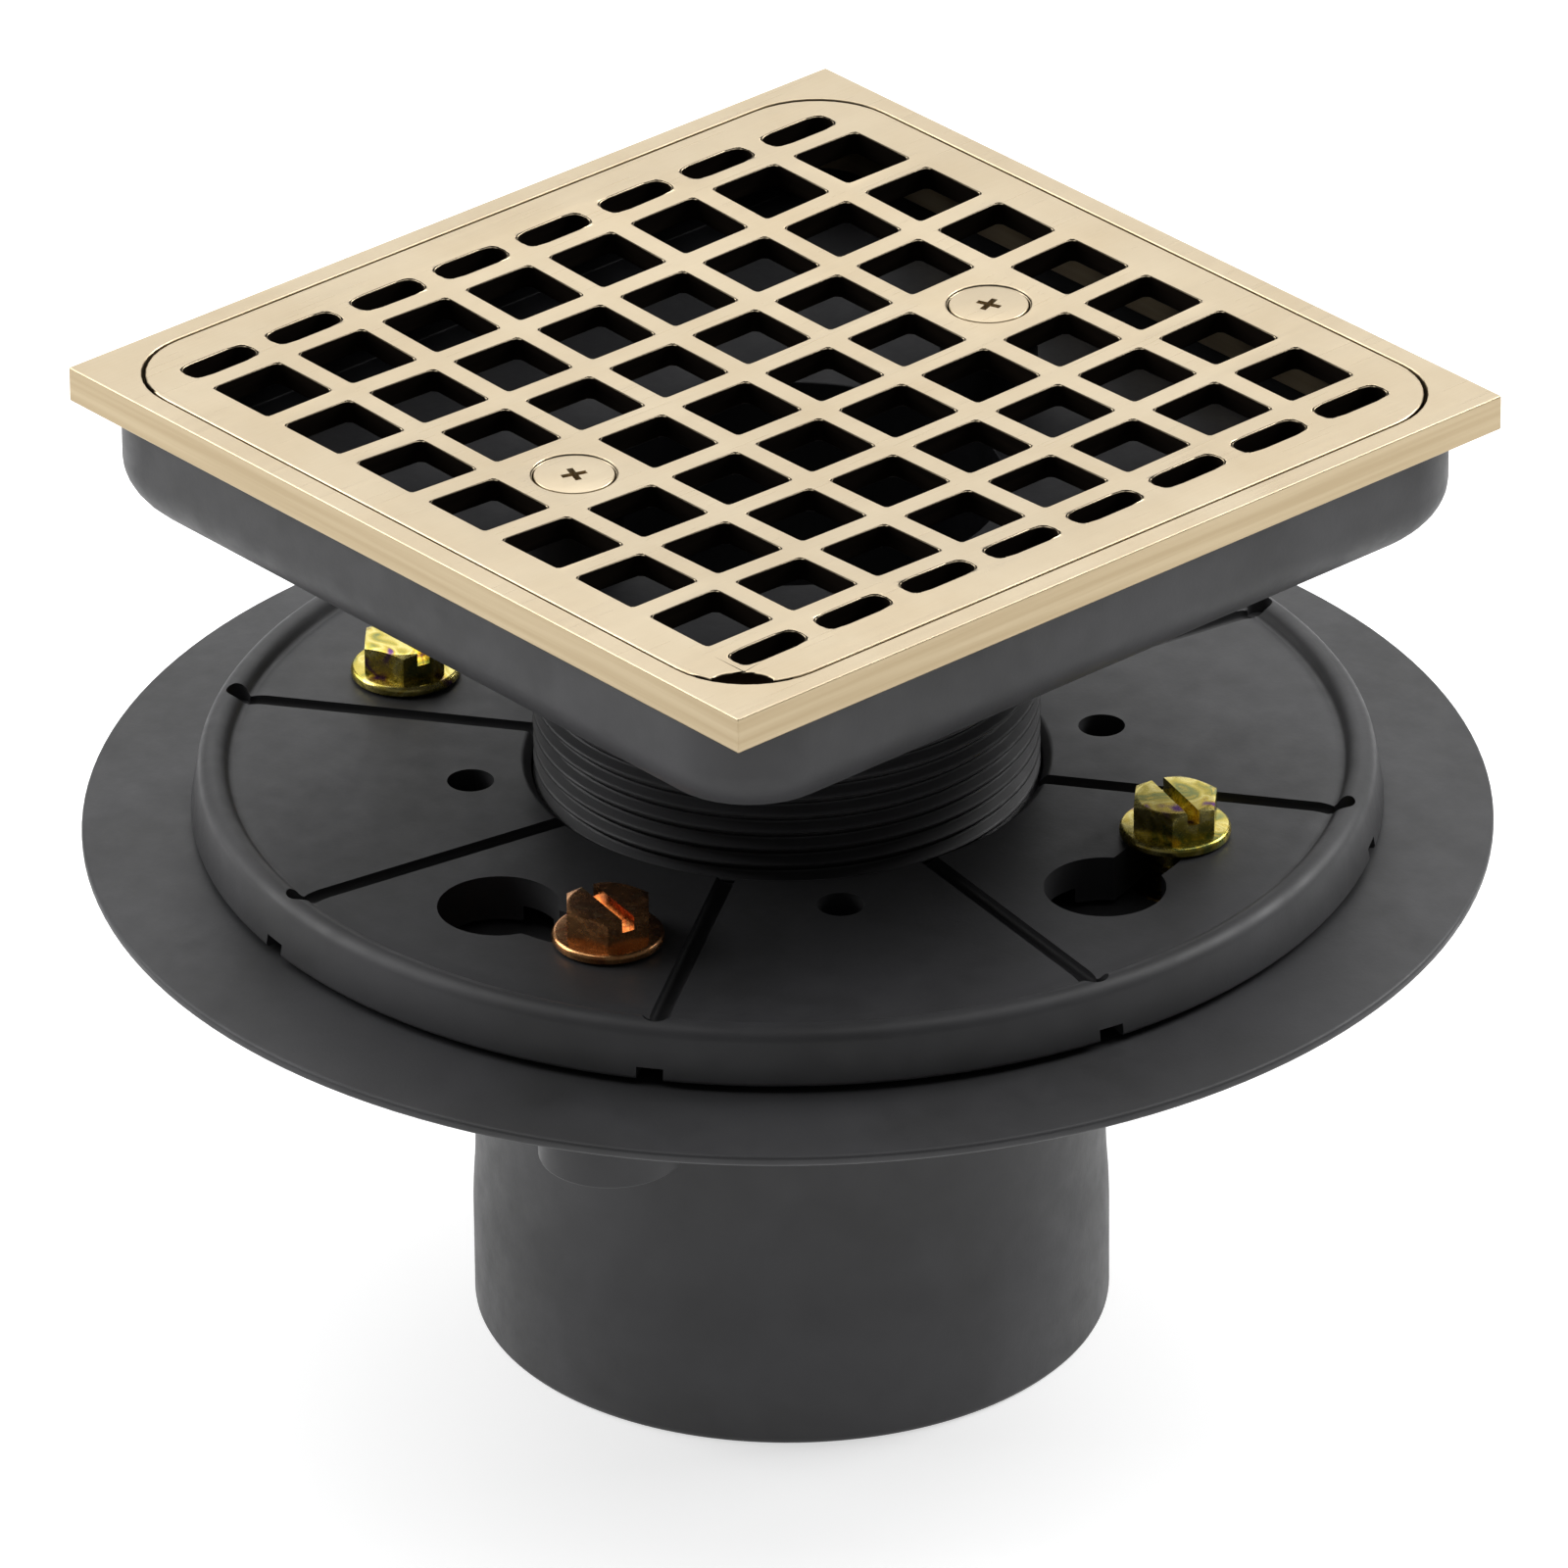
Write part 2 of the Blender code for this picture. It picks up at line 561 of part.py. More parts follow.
def grid_lines():
    """Where the bars' edges run: the X lines and the Y lines, rim to rim."""
    half = OPENING_HALF - GAP + OVERSHOOT
    across = [-half, -SLOT_X - SLOT_WIDTH / 2, -SLOT_X + SLOT_WIDTH / 2]
    for column in range(HOLE_COLUMNS):
        centre = (column - (HOLE_COLUMNS - 1) / 2) * PITCH
        across += [centre - HOLE / 2, centre + HOLE / 2]
    across += [SLOT_X - SLOT_WIDTH / 2, SLOT_X + SLOT_WIDTH / 2, half]
    along = [-half]
    for row in range(HOLE_ROWS):
        centre = (row - (HOLE_ROWS - 1) / 2) * PITCH
        along += [centre - HOLE / 2, centre + HOLE / 2]
    along.append(half)
    return across, along


def make_grate():
    """The dished grate: a grid of bars, thickened, rounded at its corners and countersunk."""
    across, along = grid_lines()
    shape = bmesh.new()
    bmesh.ops.create_grid(shape, x_segments=len(across) - 1, y_segments=len(along) - 1,
                          size=0.5)
    for vertex in shape.verts:
        column = round((vertex.co.x + 0.5) * (len(across) - 1))
        row = round((vertex.co.y + 0.5) * (len(along) - 1))
        vertex.co.x = across[column]
        vertex.co.y = along[row]
        vertex.co.z = GRATE_TOP - dish(math.hypot(vertex.co.x, vertex.co.y))

    # Every second cell both ways is a hole, apart from the two screw bosses.
    holes = []
    for face in shape.faces:
        middle = face.calc_center_median()
        column = sum(line < middle.x for line in across)
        row = sum(line < middle.y for line in along)
        is_boss = abs(middle.x) < HOLE / 2 and row // 2 - 1 in SCREW_ROWS
        if column % 2 == 0 and row % 2 == 0 and not is_boss:
            holes.append(face)
    bmesh.ops.delete(shape, geom=holes, context="FACES")
    grate = add_object("grate", mesh_from(shape, "grate"), NICKEL_BRONZE, grate_axis)
    thickness = grate.modifiers.new("Thickness", "SOLIDIFY")
    thickness.thickness = GRATE_THICKNESS
    thickness.offset = -1.0

    half = OPENING_HALF - GAP
    outline = rounded_block("grate_outline", half, OPENING_RADIUS,
                            LEDGE_TOP - 5 * MM, GRATE_TOP + OVERSHOOT)
    combine(grate, "INTERSECT", "grate_outline", outline)

    holes = bmesh.new()
    for side in (-1, 1):
        centre = (0, side * SCREW_Y)
        add_cylinder(holes, SCREW_SHANK_RADIUS + GAP, SCREW_TOP - 2 * GRATE_THICKNESS,
                     SCREW_TOP + OVERSHOOT, centre)
    cut_with(grate, "screw_holes", holes)
    head = SCREW_HEAD_RADIUS + GAP
    for i, side in enumerate((-1, 1), start=1):
        sink = turned(f"countersink_{i}", [(0, OVERSHOOT), (head, OVERSHOOT),
                                           (head, -SCREW_HEAD_RIM),
                                           (SCREW_SHANK_RADIUS, -SCREW_HEAD_HEIGHT),
                                           (0, -SCREW_HEAD_HEIGHT)],
                      steps=24, closed=False,
                      location=(0, side * SCREW_Y, SCREW_TOP - SCREW_SINK))
        combine(grate, "DIFFERENCE", f"countersink_{i}", sink)

    width, depth = PRY_NOTCH
    corner = math.sqrt(2) * (half - OPENING_RADIUS) + OPENING_RADIUS
    notch = bmesh.new()
    add_block(notch, corner - depth, corner + 2 * OVERSHOOT, width,
              LEDGE_TOP - OVERSHOOT, GRATE_TOP + OVERSHOOT, -45.0)
    cut_with(grate, "pry_notch", notch)


def make_screws():
    """Countersunk cross-recess screws; each origin is at its top, on its axis."""
    chamfer = 0.4 * MM
    neck = SCREW_SHANK_RADIUS - GAP
    profile = [(0, 0), (SCREW_HEAD_RADIUS, 0), (SCREW_HEAD_RADIUS, -SCREW_HEAD_RIM),
               (neck, -SCREW_HEAD_HEIGHT), (neck, -SCREW_HEAD_HEIGHT - chamfer),
               (SCREW_SHANK_RADIUS, -SCREW_HEAD_HEIGHT - 2 * chamfer),
               (SCREW_SHANK_RADIUS, chamfer - SCREW_LENGTH),
               (SCREW_SHANK_RADIUS - chamfer, -SCREW_LENGTH), (0, -SCREW_LENGTH)]
    screw = turned("screw_blank", profile, NICKEL_BRONZE, SMALL_STEPS, closed=False)
    for angle in (0.0, 90.0):
        arm = bmesh.new()
        add_block(arm, -2.1 * MM, 2.1 * MM, 1.0 * MM, -1.6 * MM, OVERSHOOT, angle)
        cut_with(screw, f"recess_{angle:.0f}", arm)
    shared = finished_mesh(screw, "grate_screw")
    for i, side in enumerate((-1, 1), start=1):
        place = (0, side * SCREW_Y, SCREW_TOP - SCREW_SINK)
        add_copy(f"grate_screw_{i}", shared, place, parent=grate_axis, turn=20.0 * side)


make_base()
make_collar()
make_bolts()
make_strainer_body()
make_frame()
make_grate()
make_screws()

# Round pieces are shaded smooth up to their sharp edges.
for part in parts.objects:
    if part.type == "MESH":
        part.data.shade_smooth()
        part.data.set_sharp_from_angle(angle=math.radians(35))
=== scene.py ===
# %% [markdown]
# # A floor drain with a square metal grate
# The plastic base, clamping collar and strainer stand in a fixed frame of CAD pieces.
# Each cell makes one piece or one finish and lays it over the CAD piece it stands for.
# Shapes are built in millimetres and turned to metres once, when a piece is finished.

# %% Load the frame
import math

import bmesh
import bpy
from mathutils import Matrix, Vector


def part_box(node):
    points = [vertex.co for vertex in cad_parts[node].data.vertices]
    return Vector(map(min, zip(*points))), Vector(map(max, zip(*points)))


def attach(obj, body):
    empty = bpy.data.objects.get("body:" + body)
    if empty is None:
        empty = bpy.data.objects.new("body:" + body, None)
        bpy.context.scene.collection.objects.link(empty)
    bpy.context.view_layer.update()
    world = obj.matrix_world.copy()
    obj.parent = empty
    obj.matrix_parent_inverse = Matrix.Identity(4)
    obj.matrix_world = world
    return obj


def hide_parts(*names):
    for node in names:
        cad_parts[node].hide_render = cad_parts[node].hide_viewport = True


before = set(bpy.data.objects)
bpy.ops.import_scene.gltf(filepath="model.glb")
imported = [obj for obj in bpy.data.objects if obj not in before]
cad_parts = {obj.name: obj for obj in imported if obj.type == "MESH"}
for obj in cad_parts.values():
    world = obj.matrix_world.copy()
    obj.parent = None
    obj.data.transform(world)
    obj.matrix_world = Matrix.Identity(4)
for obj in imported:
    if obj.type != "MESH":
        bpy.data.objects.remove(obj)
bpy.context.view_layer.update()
MM = 0.001
FULL_TURN = math.tau

# %% [markdown]
# ## Heights from the CAD pieces
# A detailed piece has to sit where its CAD piece sits.  Some of the levels that the pieces
# share come from the CAD boxes; the others are given as numbers.

# %% Measure the CAD pieces


def level(node, top=True):
    """The height of a CAD piece's top or bottom, in millimetres."""
    low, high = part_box(node)
    return (high.z if top else low.z) / MM


FLANGE_TOP = 66.4
COLLAR_FACE = 72.9
HEAD_TOP = 117.7
HEAD_BOTTOM = 104.7
FRAME_TOP = level("strainer_frame")
FRAME_BOTTOM = HEAD_TOP + 0.3
LEDGE_TOP = FRAME_BOTTOM + 1.2
GRATE_TOP = level("grate")
BARREL_END = level("strainer_body", top=False)
print("frame top", round(FRAME_TOP, 2), "grate top", round(GRATE_TOP, 2))

# %% [markdown]
# ## Helpers for turned and cut shapes
# Most of these pieces are moulded or machined in the round.  A profile of a few corners,
# each with its own rounding, is spun about the upright axis: that is how a lathe or a round
# mould makes the shape.  Holes and slots are then cut with a solid tool, as a drill would.

# %% Turning a profile


def turned(profile, steps=160, closed=True):
    """Spin (radius, height) corners about Z; a third number rounds that corner."""
    shape = bmesh.new()
    corners = [shape.verts.new((corner[0], 0, corner[1])) for corner in profile]
    ring = corners + corners[:1] if closed else corners
    for pair in zip(ring, ring[1:]):
        shape.edges.new(pair)
    for vertex, corner in zip(corners, profile):
        if len(corner) == 3:
            bmesh.ops.bevel(shape, geom=[vertex], offset=corner[2], segments=5,
                            profile=0.5, affect="VERTICES", material=-1)
    bmesh.ops.spin(shape, geom=shape.verts[:] + shape.edges[:], cent=(0, 0, 0),
                   axis=(0, 0, 1), dvec=(0, 0, 0), angle=FULL_TURN, steps=steps,
                   use_merge=True)
    return cleaned(shape)


def cleaned(shape):
    """Merge doubled points and point every face outwards."""
    bmesh.ops.remove_doubles(shape, verts=shape.verts, dist=0.003)
    bmesh.ops.dissolve_degenerate(shape, edges=shape.edges, dist=0.001)
    bmesh.ops.recalc_face_normals(shape, faces=shape.faces)
    return shape


# %% [markdown]
# ## Helpers for straight-sided shapes
# A block starts as a cube and gets its corners from the bevel operator, as a pattern maker
# rounds a pattern.  The same block, made long and thin, is the tool that cuts a groove.

# %% Blocks, discs and ring sectors


def block(size, centre, corner=0.0, corner_steps=10, ends=(-1, 1)):
    """A box of a given size; its upright edges at the chosen X ends may be rounded."""
    shape = bmesh.new()
    bmesh.ops.create_cube(shape, size=1.0)
    bmesh.ops.scale(shape, vec=size, verts=shape.verts)
    if corner > 0.0:
        upright = [e for e in shape.edges
                   if abs(e.verts[0].co.z - e.verts[1].co.z) > size[2] / 2
                   and math.copysign(1, e.verts[0].co.x) in ends]
        bmesh.ops.bevel(shape, geom=upright, offset=corner, segments=corner_steps,
                        profile=0.5, affect="EDGES", material=-1)
    bmesh.ops.translate(shape, vec=centre, verts=shape.verts)
    return shape


def plate(half, corner, bottom, top):
    """A square plate about the axis, with round corners."""
    return block((2 * half, 2 * half, top - bottom), (0, 0, (top + bottom) / 2), corner)


def disc(radius, bottom, top, centre=(0, 0), steps=40, upper=None):
    """An upright cylinder, or a cone when it has another radius at the top."""
    shape = bmesh.new()
    bmesh.ops.create_cone(shape, cap_ends=True, segments=steps, radius1=radius,
                          radius2=radius if upper is None else upper, depth=top - bottom)
    bmesh.ops.translate(shape, vec=(*centre, (top + bottom) / 2), verts=shape.verts)
    return shape


def sector(inner, outer, bottom, top, start, end, steps=12):
    """A stretch of a ring between two angles in degrees."""
    shape = bmesh.new()
    bmesh.ops.create_grid(shape, x_segments=1, y_segments=1, size=0.5)
    bmesh.ops.scale(shape, vec=(outer - inner, top - bottom, 1), verts=shape.verts)
    stand_up = Matrix.Rotation(math.radians(90), 3, "X")
    bmesh.ops.rotate(shape, matrix=stand_up, verts=shape.verts)
    bmesh.ops.translate(shape, vec=((inner + outer) / 2, 0, (top + bottom) / 2),
                        verts=shape.verts)
    rotated(shape, start)
    bmesh.ops.spin(shape, geom=shape.faces[:], cent=(0, 0, 0), axis=(0, 0, 1),
                   dvec=(0, 0, 0), angle=math.radians(end - start), steps=steps)
    return cleaned(shape)


def rotated(shape, angle):
    """Turn a whole shape about the upright axis, in degrees."""
    turn = Matrix.Rotation(math.radians(angle), 3, "Z")
    bmesh.ops.rotate(shape, matrix=turn, verts=shape.verts)
    return shape


def gathered(shapes):
    """Several shapes that don't overlap as one, so that one cut makes them all."""
    whole = bmesh.new()
    for shape in shapes:
        mesh = bpy.data.meshes.new("one_of_them")
        shape.to_mesh(mesh)
        shape.free()
        whole.from_mesh(mesh)
        bpy.data.meshes.remove(mesh)
    return whole


def on_circle(radius, angle):
    """The (x, y) point at a radius and an angle in degrees."""
    return radius * math.cos(math.radians(angle)), radius * math.sin(math.radians(angle))


# %% [markdown]
# ## A real screw thread
# A thread could be a bump in the material, but it shows at the barrel's outline, so it is
# cut in the shape.  One tooth is spun about the axis while it climbs one pitch a turn, and
# the rod that this makes is sliced square at both ends.

# %% Threaded rod


def threaded_rod(root, crest, pitch, bottom, top, steps=96, flat=0.16):
    """A solid rod with a right-hand thread between two heights."""
    turns = math.ceil((top - bottom) / pitch) + 3
    start = bottom - 1.5 * pitch
    shape = bmesh.new()
    tooth = [(root, 0.0), (root, flat / 2), (crest, 0.5 - flat / 2),
             (crest, 0.5 + flat / 2), (root, 1.0 - flat / 2), (root, 1.0)]
    points = [shape.verts.new((r, 0, start + share * pitch)) for r, share in tooth]
    for pair in zip(points, points[1:]):
        shape.edges.new(pair)
    bmesh.ops.spin(shape, geom=shape.verts[:] + shape.edges[:], cent=(0, 0, 0),
                   axis=(0, 0, 1), dvec=(0, 0, pitch / steps), angle=FULL_TURN * turns,
                   steps=steps * turns)
    bmesh.ops.remove_doubles(shape, verts=shape.verts, dist=0.01)
    for height, upwards in ((bottom, -1), (top, 1)):
        bmesh.ops.bisect_plane(shape, geom=shape.verts[:] + shape.edges[:] + shape.faces[:],
                               plane_co=(0, 0, height), plane_no=(0, 0, upwards),
                               clear_outer=True)
        rim = [e for e in shape.edges if e.is_boundary
               and all(abs(v.co.z - height) < 0.001 for v in e.verts)]
        bmesh.ops.contextual_create(shape, geom=rim)
    return cleaned(shape)


# %% [markdown]
# ## Joining and cutting
# The exact Boolean joins or cuts two solids.  Its result is stored straight away, and the
# tool is thrown away, so the finished piece is one plain mesh.

# %% Join, cut and finish


def solid(shape, name):
    """An object that holds a shape, still in millimetres."""
    mesh = bpy.data.meshes.new(name)
    shape.to_mesh(mesh)
    shape.free()
    thing = bpy.data.objects.new(name, mesh)
    bpy.context.scene.collection.objects.link(thing)
    return thing


def combine(thing, operation, *tools):
    """Apply exact Booleans to a solid, one tool after another."""
    for tool in tools:
        other = solid(tool, "tool")
        boolean = thing.modifiers.new("combine", "BOOLEAN")
        boolean.operation = operation
        boolean.solver = "EXACT"
        boolean.object = other
        evaluated = thing.evaluated_get(bpy.context.evaluated_depsgraph_get())
        result = bpy.data.meshes.new_from_object(evaluated)
        thing.modifiers.clear()
        old, thing.data = thing.data, result
        bpy.data.meshes.remove(old)
        bpy.data.objects.remove(other, do_unlink=True)
    return thing


def cut(thing, *tools):
    return combine(thing, "DIFFERENCE", *tools)


def join(thing, *tools):
    return combine(thing, "UNION", *tools)


def finish_piece(thing, node, body, material, edge=0.2, sharp=32.0, flat=0.3):
    """Tidy a solid, turn it to metres, soften its edges and hand it to the frame."""
    shape = bmesh.new()
    shape.from_mesh(thing.data)
    cleaned(shape)
    if flat > 0.0:
        bmesh.ops.dissolve_limit(shape, angle_limit=math.radians(flat),
                                 verts=shape.verts, edges=shape.edges)
    bmesh.ops.scale(shape, vec=(MM, MM, MM), verts=shape.verts)
    for face in shape.faces:
        face.smooth = True
    shape.to_mesh(thing.data)
    shape.free()
    thing.name = thing.data.name = "detailed_" + node
    thing.data.materials.clear()
    thing.data.materials.append(material)
    if edge > 0.0:
        soften = thing.modifiers.new("soft_edges", "BEVEL")
        soften.width = edge * MM
        soften.segments = 2
        soften.limit_method = "ANGLE"
        soften.angle_limit = math.radians(sharp)
        soften.use_clamp_overlap = False
        soften.harden_normals = True
    else:
        thing.data.set_sharp_from_angle(angle=math.radians(sharp))
    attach(thing, body)
    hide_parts(node)
    print(thing.name, len(thing.data.vertices), "points")
    return thing


# %% [markdown]
# ## Colours and nodes
# Colours are written as the hex codes a designer would pick, and one function turns them to
# the linear values that the shader needs.  Another adds a node with its settings and links.

# %% Colour and node helpers


def linear(code):
    """A hex colour code as linear red, green, blue and full alpha."""
    channels = [int(code[i:i + 2], 16) / 255 for i in (1, 3, 5)]
    return [c / 12.92 if c <= 0.04045 else ((c + 0.055) / 1.055) ** 2.4
            for c in channels] + [1.0]


def add_node(tree, kind, inputs=(), **settings):
    """Add a node; an input is given a value, or another node's output to link."""
    node = tree.nodes.new(kind)
    for name, value in settings.items():
        setattr(node, name, value)
    for name, value in dict(inputs).items():
        if isinstance(value, bpy.types.NodeSocket):
            tree.links.new(value, node.inputs[name])
        else:
            node.inputs[name].default_value = value
    return node


def new_material(name, metallic, roughness, **sockets):
    """A material with a Principled shader, its node tree and its Object coordinates."""
    material = bpy.data.materials.new(name)
    material.use_nodes = True
    tree = material.node_tree
    shader = tree.nodes["Principled BSDF"]
    shader.inputs["Metallic"].default_value = metallic
    shader.inputs["Roughness"].default_value = roughness
    for socket, value in sockets.items():
        shader.inputs[socket.replace("_", " ")].default_value = value
    place = add_node(tree, "ShaderNodeTexCoord")
    return material, tree, shader, place


def grains(size):
    """A texture scale, for Object coordinates in metres, whose grains are so many mm."""
    return 1.0 / (size * MM)


def past_reach(tree, here, reach):
    """1 where a point is further than a reach from the axis in X or Y, otherwise 0."""
    spot = add_node(tree, "ShaderNodeSeparateXYZ", {"Vector": here})
    sides = [add_node(tree, "ShaderNodeMath", {0: spot.outputs[axis]},
                      operation="ABSOLUTE").outputs[0] for axis in "XY"]
    widest = add_node(tree, "ShaderNodeMath", {0: sides[0], 1: sides[1]},
                      operation="MAXIMUM")
    beyond = add_node(tree, "ShaderNodeMath", {0: widest.outputs[0], 1: reach * MM},
                      operation="GREATER_THAN")
    return beyond.outputs[0]


# %% [markdown]
# ## Moulded charcoal ABS
# The drain's body is injection-moulded ABS, coloured through with carbon black.  It leaves
# a spark-eroded mould with a fine dull grain, and drifts a little in shade where the melt
# flowed.  The real grain is about 0.15 mm; it is drawn at 0.5 mm so that it still shows.
# The strainer's tray sits in its own shadow, so its floor and the walls that face inwards
# are painted almost black as painted shade.

# %% Charcoal ABS


def charcoal_abs(name, tray=False):
    """Charcoal plastic; with a tray, faces turned inwards or up get near-black painted shade.
    """
    material, tree, shader, place = new_material(name, 0.0, 0.5, IOR=1.53,
                                                 Specular_IOR_Level=0.32)
    here = place.outputs["Object"]
    flow = add_node(tree, "ShaderNodeTexNoise", {"Vector": here, "Scale": grains(22),
                                                 "Detail": 3.0, "Distortion": 0.6})
    grain = add_node(tree, "ShaderNodeTexNoise", {"Vector": here, "Scale": grains(0.5),
                                                  "Detail": 2.0})
    scuffs = add_node(tree, "ShaderNodeTexNoise", {"Vector": here, "Scale": grains(4.0),
                                                   "Detail": 5.0, "Roughness": 0.65})
    shade = add_node(tree, "ShaderNodeValToRGB", {"Fac": flow.outputs["Fac"]})
    shade.color_ramp.elements[0].position = 0.35
    shade.color_ramp.elements[0].color = linear("#303031")
    shade.color_ramp.elements[1].position = 0.68
    shade.color_ramp.elements[1].color = linear("#39393b")
    colour = shade.outputs["Color"]
    if tray:
        # X and Y of a point lead outwards; the fixed step down makes upper faces "inside".
        outwards = add_node(tree, "ShaderNodeMapping", {"Vector": here,
                                                        "Location": (0, 0, -10 * MM),
                                                        "Scale": (1, 1, 0)})
        along = add_node(tree, "ShaderNodeVectorMath",
                         {0: outwards.outputs["Vector"], 1: place.outputs["Normal"]},
                         operation="DOT_PRODUCT")
        outside = add_node(tree, "ShaderNodeMath", {0: along.outputs["Value"], 1: 0.0},
                           operation="GREATER_THAN")
        painted_tray_shade = add_node(tree, "ShaderNodeMix", {"Factor": outside.outputs[0]},
                         data_type="RGBA")
        # Near-black painted shade for the tray's inward and upward faces.
        painted_tray_shade.inputs[6].default_value = linear("#17171a")
        tree.links.new(colour, painted_tray_shade.inputs[7])
        colour = painted_tray_shade.outputs[2]
    tree.links.new(colour, shader.inputs["Base Color"])
    dull = add_node(tree, "ShaderNodeMapRange", {"Value": scuffs.outputs["Fac"],
                                                 "From Min": 0.3, "From Max": 0.7,
                                                 "To Min": 0.44, "To Max": 0.56})
    tree.links.new(dull.outputs["Result"], shader.inputs["Roughness"])
    relief = add_node(tree, "ShaderNodeBump", {"Height": grain.outputs["Fac"],
                                               "Strength": 0.35, "Distance": 0.03 * MM})
    tree.links.new(relief.outputs["Normal"], shader.inputs["Normal"])
    return material


plastic = charcoal_abs("moulded_charcoal_abs")
# The strainer body's tray gets near-black painted shade on its inward and upward faces.
tray_painted_shade_plastic = charcoal_abs("moulded_charcoal_abs_painted_tray_shade", tray=True)

# %% [markdown]
# ## Satin nickel bronze
# The grate and its frame are cast in nickel bronze, a pale warm metal, and their upper
# faces are ground along one direction and left satin, with lines drawn 0.35 mm apart.  The
# frame is machined all round, in level passes of about 1.1 mm, so its sides are duller.
# The walls of the grate's holes are painted nearly black, as painted shade inside the holes.

# %% Nickel bronze


def nickel_bronze(name, wall_tones, wall_roughness, reach=None):
    """Bronze with ground upper faces; walls past a reach from the axis are ground too."""
    material, tree, shader, place = new_material(name, 1.0, 0.32)
    here = place.outputs["Object"]
    along = add_node(tree, "ShaderNodeMapping", {"Vector": here, "Scale": (1, 0.02, 1)})
    lines = add_node(tree, "ShaderNodeTexNoise", {"Vector": along.outputs["Vector"],
                                                  "Scale": grains(0.35), "Detail": 3.0})
    cast = add_node(tree, "ShaderNodeTexNoise", {"Vector": here, "Scale": grains(0.6),
                                                 "Detail": 3.0})
    bloom = add_node(tree, "ShaderNodeTexNoise", {"Vector": here, "Scale": grains(18),
                                                  "Detail": 4.0, "Roughness": 0.6})
    facing = add_node(tree, "ShaderNodeSeparateXYZ", {"Vector": place.outputs["Normal"]})
    ground = add_node(tree, "ShaderNodeMapRange", {"Value": facing.outputs["Z"],
                                                   "From Min": 0.35, "From Max": 0.8})
    share = ground.outputs["Result"]
    if reach is not None:
        beyond = past_reach(tree, here, reach)
        share = add_node(tree, "ShaderNodeMath", {0: share, 1: beyond},
                         operation="MAXIMUM").outputs[0]
    tone = add_node(tree, "ShaderNodeValToRGB", {"Fac": bloom.outputs["Fac"]})
    tone.color_ramp.elements[0].position = 0.3
    tone.color_ramp.elements[0].color = linear("#bfae91")
    tone.color_ramp.elements[1].position = 0.7
    tone.color_ramp.elements[1].color = linear("#c8b99e")
    level_cut = add_node(tree, "ShaderNodeMapping", {"Vector": here,
                                                     "Scale": (0.02, 0.02, 1)})
    passes = add_node(tree, "ShaderNodeTexNoise", {"Vector": level_cut.outputs["Vector"],
                                                   "Scale": grains(1.1), "Detail": 3.0})
    wall = add_node(tree, "ShaderNodeValToRGB", {"Fac": passes.outputs["Fac"]})
    wall.color_ramp.elements[0].position = 0.35
    wall.color_ramp.elements[0].color = linear(wall_tones[0])
    wall.color_ramp.elements[1].position = 0.65
    wall.color_ramp.elements[1].color = linear(wall_tones[1])
    skin = add_node(tree, "ShaderNodeMix", {"Factor": share}, data_type="RGBA")
    tree.links.new(wall.outputs["Color"], skin.inputs[6])
    tree.links.new(tone.outputs["Color"], skin.inputs[7])
    tree.links.new(skin.outputs[2], shader.inputs["Base Color"])
    rub = add_node(tree, "ShaderNodeMapRange", {"Value": lines.outputs["Fac"],
                                                "From Min": 0.3, "From Max": 0.7,
                                                "To Min": 0.27, "To Max": 0.38})
    polish = add_node(tree, "ShaderNodeMix", {"Factor": share,
                                              "A": wall_roughness,
                                              "B": rub.outputs["Result"]})
    tree.links.new(polish.outputs[0], shader.inputs["Roughness"])
    height = add_node(tree, "ShaderNodeMix", {"Factor": share,
                                              "A": cast.outputs["Fac"],
                                              "B": lines.outputs["Fac"]})
    relief = add_node(tree, "ShaderNodeBump", {"Height": height.outputs[0],
                                               "Strength": 0.3, "Distance": 0.02 * MM})
    tree.links.new(relief.outputs["Normal"], shader.inputs["Normal"])
    return material


machined = nickel_bronze("satin_nickel_bronze", ("#ad9b7c", "#b9a88a"), 0.42)
# The grate's hole walls get near-black painted shade; its outer rim walls stay bronze.
openwork_bronze_painted_shade = nickel_bronze("satin_nickel_bronze_painted_shade_walls",
                                ("#241d18", "#2e261f"), 0.55, reach=56.0)

# %% [markdown]
# ## Yellow-chromate zinc
# The bolts are steel, zinc-plated and dipped in yellow chromate.  The film is so thin that
# it shows bands of gold, olive, green and violet.  The bolt at the front left is drawn in
# more coppery tones.  The bands are about 4.5 mm wide.

# %% Yellow zinc


def zinc_plating(name, tones):
    """Bright zinc whose chromate film runs through a list of tones."""
    material, tree, shader, place = new_material(name, 1.0, 0.24)
    here = place.outputs["Object"]
    film = add_node(tree, "ShaderNodeTexNoise", {"Vector": here, "Scale": grains(4.5),
                                                 "Detail": 1.5, "Distortion": 1.2})
    bands = add_node(tree, "ShaderNodeValToRGB", {"Fac": film.outputs["Fac"]})
    first, last = 0.28, 0.72
    bands.color_ramp.elements[0].position = first
    bands.color_ramp.elements[1].position = last
    while len(bands.color_ramp.elements) < len(tones):
        bands.color_ramp.elements.new(0.5)
    for i, element in enumerate(bands.color_ramp.elements):
        element.position = first + (last - first) * i / (len(tones) - 1)
        element.color = linear(tones[i])
    tree.links.new(bands.outputs["Color"], shader.inputs["Base Color"])
    rub = add_node(tree, "ShaderNodeTexNoise", {"Vector": here, "Scale": grains(0.8),
                                                "Detail": 3.0})
    dull = add_node(tree, "ShaderNodeMapRange", {"Value": rub.outputs["Fac"],
                                                 "To Min": 0.16, "To Max": 0.36})
    tree.links.new(dull.outputs["Result"], shader.inputs["Roughness"])
    relief = add_node(tree, "ShaderNodeBump", {"Height": rub.outputs["Fac"],
                                               "Strength": 0.12, "Distance": 0.02 * MM})
    tree.links.new(relief.outputs["Normal"], shader.inputs["Normal"])
    return material


